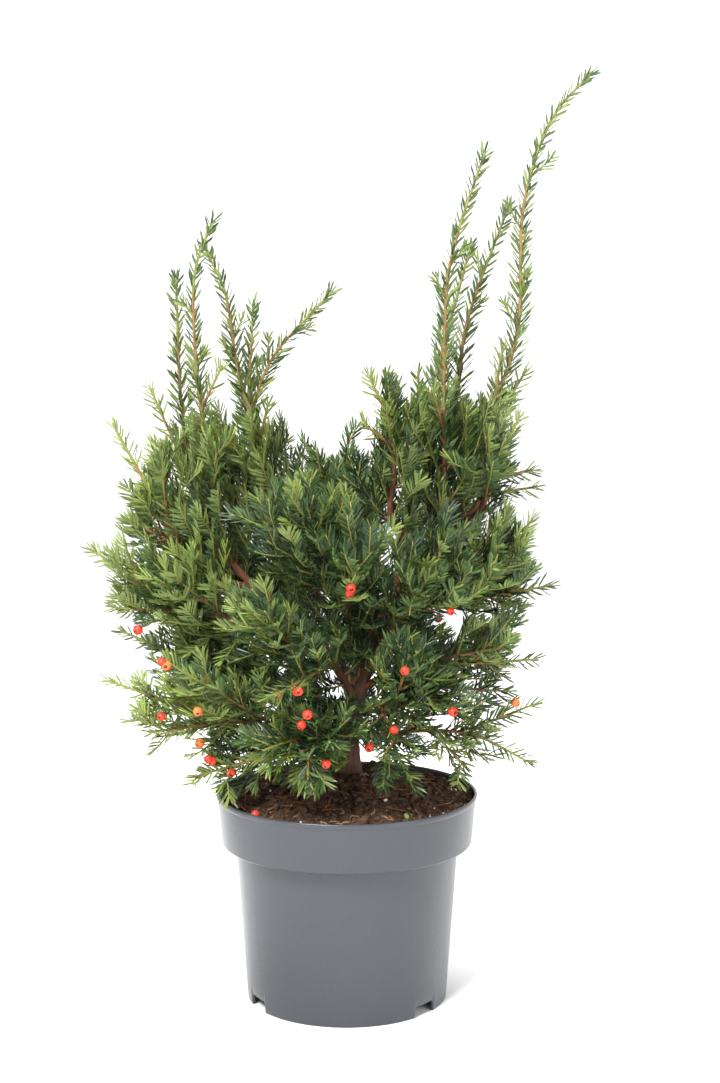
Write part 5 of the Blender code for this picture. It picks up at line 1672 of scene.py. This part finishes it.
@dataclass
class Ground:
    """The soil: a lumpy mound, with crumbs, fibres, perlite and fallen needles on it."""

    edge: float = 0.1360
    rings: int = 72
    columns: int = 300
    foot: float = SOIL_EDGE - 12 * MM
    # Crumbs, clods and perlite: how many, their least and greatest size in mm, and their slot.
    lumps: tuple = ((1500, 0.9, 3.2, 0), (166, 3.2, 5.6, 0), (110, 0.8, 2.0, 1))
    # Fibres and slivers: how many, their least and greatest length and their radius in mm, their slot.
    strands: tuple = ((210, 8, 20, 0.28, 2), (60, 8, 18, 0.9, 3))
    needles: int = 90
    needle_range: tuple[float, float] = (13, 24)  # their length in mm
    margin: float = 3 * MM  # what lies on the soil keeps from its edge

    def surface_height(self, x: np.ndarray, y: np.ndarray) -> np.ndarray:
        """The soil's height with its lumps, by noise at three sizes on the mound's own height.

        Args:
            x: places across the soil.
            y: places along it.

        Returns:
            The height at each place.
        """
        place = np.column_stack([x, y, np.zeros_like(x)])
        radius = np.hypot(x, y)
        rough = sum(rise * MM * lattice_noise(place, size * MM, seed)
                    for rise, size, seed in ((2.4, 15, 5.3), (2.2, 6.0, 9.1), (1.2, 2.9, 2.2)))
        calm = np.clip((radius - 12 * MM) / (10 * MM), 0.15, 1)
        return soil_height(x, y) + rough * calm

    def spots(self, count: int, draw: np.random.Generator) -> np.ndarray:
        """Random places on the soil, even over its area.

        Args:
            count: how many.
            draw: the random numbers.

        Returns:
            The places, on the lumpy surface.
        """
        angle = draw.uniform(0, 2 * np.pi, count)
        radius = np.sqrt(draw.uniform(0.02, 1, count)) * (self.edge - self.margin)
        x, y = radius * np.cos(angle), radius * np.sin(angle)
        return np.column_stack([x, y, self.surface_height(x, y)])

    def build(self) -> None:
        """Makes the soil, which stands for its node, and what lies on it."""
        turn = 2 * np.pi * np.arange(self.columns) / self.columns
        radii = np.concatenate([[self.edge, self.edge], np.linspace(self.edge, 1.5 * MM, self.rings)])
        x, y = radii[:, None] * np.sin(turn), -radii[:, None] * np.cos(turn)
        height = self.surface_height(x.ravel(), y.ravel()).reshape(x.shape)
        height[0] = self.foot
        height[1] = height[2] - 1.0 * MM
        middle = self.surface_height(np.zeros(1), np.zeros(1))[0]
        ground = Surface()
        ground.add_rings(np.stack([x, y, height], -1), (0, 0, self.foot), (0, 0, middle))
        ground.build("soil_surface", [COMPOST], "soil", "soil")
        self.build_litter()

    def build_litter(self) -> None:
        """Makes the crumbs, perlite, fibres, slivers and fallen needles."""
        draw = np.random.default_rng(SEED + 7)
        litter, fallen, dry = Surface(), Surface(), Needles()
        for count, low, high, slot in self.lumps:
            place = self.spots(count, draw)
            size = draw.uniform(low, high, (count, 1)) * MM * draw.uniform(0.6, 1.2, (count, 3))
            place[:, 2] += size.mean(1) * 0.35
            room = self.edge - 4 * MM - size.max(1)
            place[:, :2] *= np.minimum(1, room / np.hypot(place[:, 0], place[:, 1]))[:, None]
            add_lumps(litter, place, size, draw, slot)
        inner = self.edge - self.margin
        along, taper = np.linspace(-1, 1, 6), np.array((0.5, 0.9, 1, 1, 0.9, 0.4))
        for count, low, high, thick, slot in self.strands:
            for place in self.spots(count, draw):
                turn, length = draw.uniform(0, 2 * np.pi), draw.uniform(low, high) * MM
                bent = turn + draw.normal(0, 0.5) * along
                steps = along / 2 * length
                x, y = place[0] + steps * np.cos(bent), place[1] + steps * np.sin(bent)
                held = np.minimum(1, inner / np.maximum(np.hypot(x, y), 1e-6))
                x, y = x * held, y * held
                rise = (thick + 0.5 + draw.uniform(0, 1.5) * np.abs(along) ** 2) * MM
                path = np.column_stack([x, y, self.surface_height(x, y) + rise])
                add_tube(litter, path, taper * thick * MM, 5, slot)
        place = self.spots(self.needles, draw)
        turn = draw.uniform(0, 2 * np.pi, self.needles)
        heading = unit(np.column_stack([np.cos(turn), np.sin(turn), draw.normal(0, 0.12, self.needles)]))
        length = draw.uniform(*self.needle_range, self.needles) * MM
        place = place + UP * 2.2 * MM - heading * length[:, None] / 2
        ends = place + heading * length[:, None]
        inside = (np.hypot(*ends[:, :2].T) < inner) & (np.hypot(*place[:, :2].T) < inner)
        dry.add(place, heading, np.tile(UP, (self.needles, 1)), length, np.full(self.needles, 1.1 * MM),
                draw.normal(0, 1.5 * MM, (self.needles, 3)), np.zeros(self.needles, int))
        dry.into(fallen, inside)
        litter.build("soil_litter", [CRUMB, PERLITE, FIBRE, PALE_FIBRE], "soil")
        fallen.build("fallen_needles", [DRY_NEEDLE] * len(TONES), "soil", smooth=False)


@dataclass
class Berries:
    """Arils on short stalks under the shoots: a fleshy cup round a dark seed."""

    crown: Crown
    radius: float = 4.7 * MM
    green_share: float = 0.62  # a green one's size, as a share of a ripe one's
    sides: int = 14
    apart: float = 6.0 * MM  # its middle from the middle of its shoot

    def profile(self) -> np.ndarray:
        """Radius and height of the cup, in its own radii, from its foot round its mouth to inside.

        Returns:
            Rows of radius and height.
        """
        outer = np.radians(np.linspace(-84, 56, 10))
        rows = [(math.cos(a), 1.04 * math.sin(a)) for a in outer]
        rows += [(0.50, 0.90), (0.42, 0.88), (0.36, 0.76), (0.33, 0.50)]
        return np.array(rows)

    def add(self, surface: Surface, place: np.ndarray, root: np.ndarray, ripe: int,
            draw: np.random.Generator) -> None:
        """Adds one berry and its stalk.

        Args:
            surface: takes it.
            place: the berry's middle.
            root: the place on the shoot that its stalk leaves.
            ripe: the slot of its flesh.
            draw: the random numbers.
        """
        green = ripe == 2
        axis = unit(unit(place - root) + 0.25 * draw.normal(size=3))
        flank = unit(np.cross(axis, np.array((0.31, 0.77, 0.55))))
        third = np.cross(axis, flank)
        size = self.radius * draw.uniform(0.88, 1.08) * (self.green_share if green else 1.0)
        turn = 2 * np.pi * np.arange(self.sides) / self.sides
        ring = np.cos(turn)[:, None] * flank + np.sin(turn)[:, None] * third
        rows = self.profile() * ((0.8, 1.25) if green else (1, 1))
        surface.add_rings(place + size * (rows[:, :1, None] * ring[None] + rows[:, 1:, None] * axis),
                          place - 1.04 * size * axis, place + 0.45 * size * axis, ripe)
        seed = place + 0.50 * size * axis
        ball = seed + 0.34 * size * (CRUMB_POINTS @ np.stack([flank, third, 1.2 * axis]))
        surface.add(ball, Patch(CRUMB_FACES, 3))
        if np.linalg.norm(place - root) > 1 * MM:
            stalk = np.linspace(root, place - 0.8 * size * axis, 4)
            add_tube(surface, stalk, np.array((0.7, 0.6, 0.6, 0.9)) * MM, 5, 4)

    def build(self) -> None:
        """Hangs each berry on the nearest shoot seen from outside and makes one piece of them."""
        draw = np.random.default_rng(SEED + 3)
        points = np.vstack([shoot.path for shoot in self.crown.shoots if shoot.order != Order.STEM])
        surface = Surface()
        for slot, places in enumerate((RED_BERRIES, ORANGE_BERRIES, GREEN_BERRIES)):
            for wanted in np.array(places) * CM:
                outward = unit(wanted * (0.5, 1, 0))
                beyond = wanted + 20 * MM * outward
                nearest = points[np.linalg.norm((points - beyond) * (1.0, 0.4, 1.0), axis=1).argmin()]
                self.add(surface, nearest + unit(outward - 0.4 * UP) * self.apart, nearest, slot, draw)
        for slot, x, y in FALLEN_BERRIES:
            ground = soil_height(np.array((x * CM,)), np.array((y * CM,)))[0] + 2.6 * MM
            place = np.array((x * CM, y * CM, ground))
            self.add(surface, place, place - 0.1 * MM * unit(draw.normal(size=3)), slot, draw)
        surface.build("berries", [ARIL, ARIL_ORANGE, ARIL_GREEN, SEED_COAT, Bark.GREEN.value], "foliage")


class Lamp(NamedTuple):
    """A square soft light: where it stands and shines, its side in metres and power in watts."""

    name: str
    place: tuple[float, float, float]
    aim: tuple[float, float, float]
    size: float
    power: float
    colour: Colour = (1.0, 1.0, 1.0)


LAMPS = (
    Lamp("key", (-1.4, -2.4, 3.4), (0.0, 0.0, 0.45), 1.5, 315.0, (1.0, 0.99, 0.97)),
    Lamp("fill", (2.6, -2.2, 1.6), (0.0, 0.0, 0.40), 2.2, 46.0),
    Lamp("top", (0.2, 0.4, 3.4), (0.0, 0.0, 0.3), 2.0, 140.0),
)


@dataclass
class Studio:
    """The round floor and its pale wall, the camera at the photo's angle and the soft lights."""

    radius: float = 6.0
    sides: int = 96
    wall_height: float = 3.6
    eye: tuple[float, float, float] = (0.0141, -2.03, 0.735)
    down: float = 6.77
    lens: float = 64.15
    sensor: float = 36.0
    far: float = 40.0
    air: float = 0.18

    def cove(self) -> None:
        """A round pale floor with a plain white wall about it, which gives light of its own."""
        turn = 2 * np.pi * np.arange(self.sides) / self.sides
        ring = self.radius * np.column_stack([np.cos(turn), np.sin(turn), np.zeros_like(turn)])
        floor, wall = np.vstack([ring, (0, 0, 0)]), np.vstack([ring, ring + self.wall_height * UP])
        fan = fan_faces(self.sides, np.arange(self.sides))
        quads = grid_faces(2, self.sides).reshape(-1, 4)[:, ::-1]
        for name, points, faces, finish in (("studio_floor", floor, fan, FLOOR),
                                            ("studio_wall", wall, quads, WALL_PAINT)):
            mesh = bpy.data.meshes.new(name)
            mesh.from_pydata(points.tolist(), [], faces.tolist())
            mesh.materials.append(finish.material())
            in_scene(name, mesh)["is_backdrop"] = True

    def camera(self) -> None:
        """The camera, level from side to side and pitched down a little."""
        camera = bpy.data.cameras.new("camera")
        camera.lens, camera.sensor_width, camera.clip_end = self.lens, self.sensor, self.far
        made = in_scene("camera", camera)
        made.location = self.eye
        made.rotation_euler = (math.radians(90 - self.down), 0.0, 0.0)
        bpy.context.scene.camera = made

    def light(self, row: Lamp) -> None:
        """Sets up one of the lights.

        Args:
            row: the light.
        """
        lamp = bpy.data.lights.new(row.name, "AREA")
        lamp.size, lamp.energy, lamp.color = row.size, row.power, row.colour
        made = in_scene(row.name, lamp)
        made.location = row.place
        made.rotation_euler = (Vector(row.aim) - Vector(row.place)).to_track_quat("-Z", "Y").to_euler()

    def build(self) -> None:
        """Makes the floor, camera, lights and the pale world."""
        self.cove()
        self.camera()
        for row in LAMPS:
            self.light(row)
        world = bpy.data.worlds.new("studio_air")
        world.use_nodes = True
        fill(world.node_tree.nodes["Background"], {"Color": (1.0, 1.0, 1.0, 1.0), "Strength": self.air})
        bpy.context.scene.world = world
        bpy.context.scene.view_settings.view_transform = "Standard"


def main() -> None:
    """Builds the looks round the frame."""
    logging.basicConfig(level=logging.INFO, format="%(message)s")
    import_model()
    low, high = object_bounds()
    limbs = Limbs()
    limbs.build()
    Pot().build()
    Ground().build()
    crown = Crown(limbs, (np.array(low), np.array(high)))
    crown.build()
    Berries(crown).build()
    Studio().build()


if __name__ == "__main__":
    main()
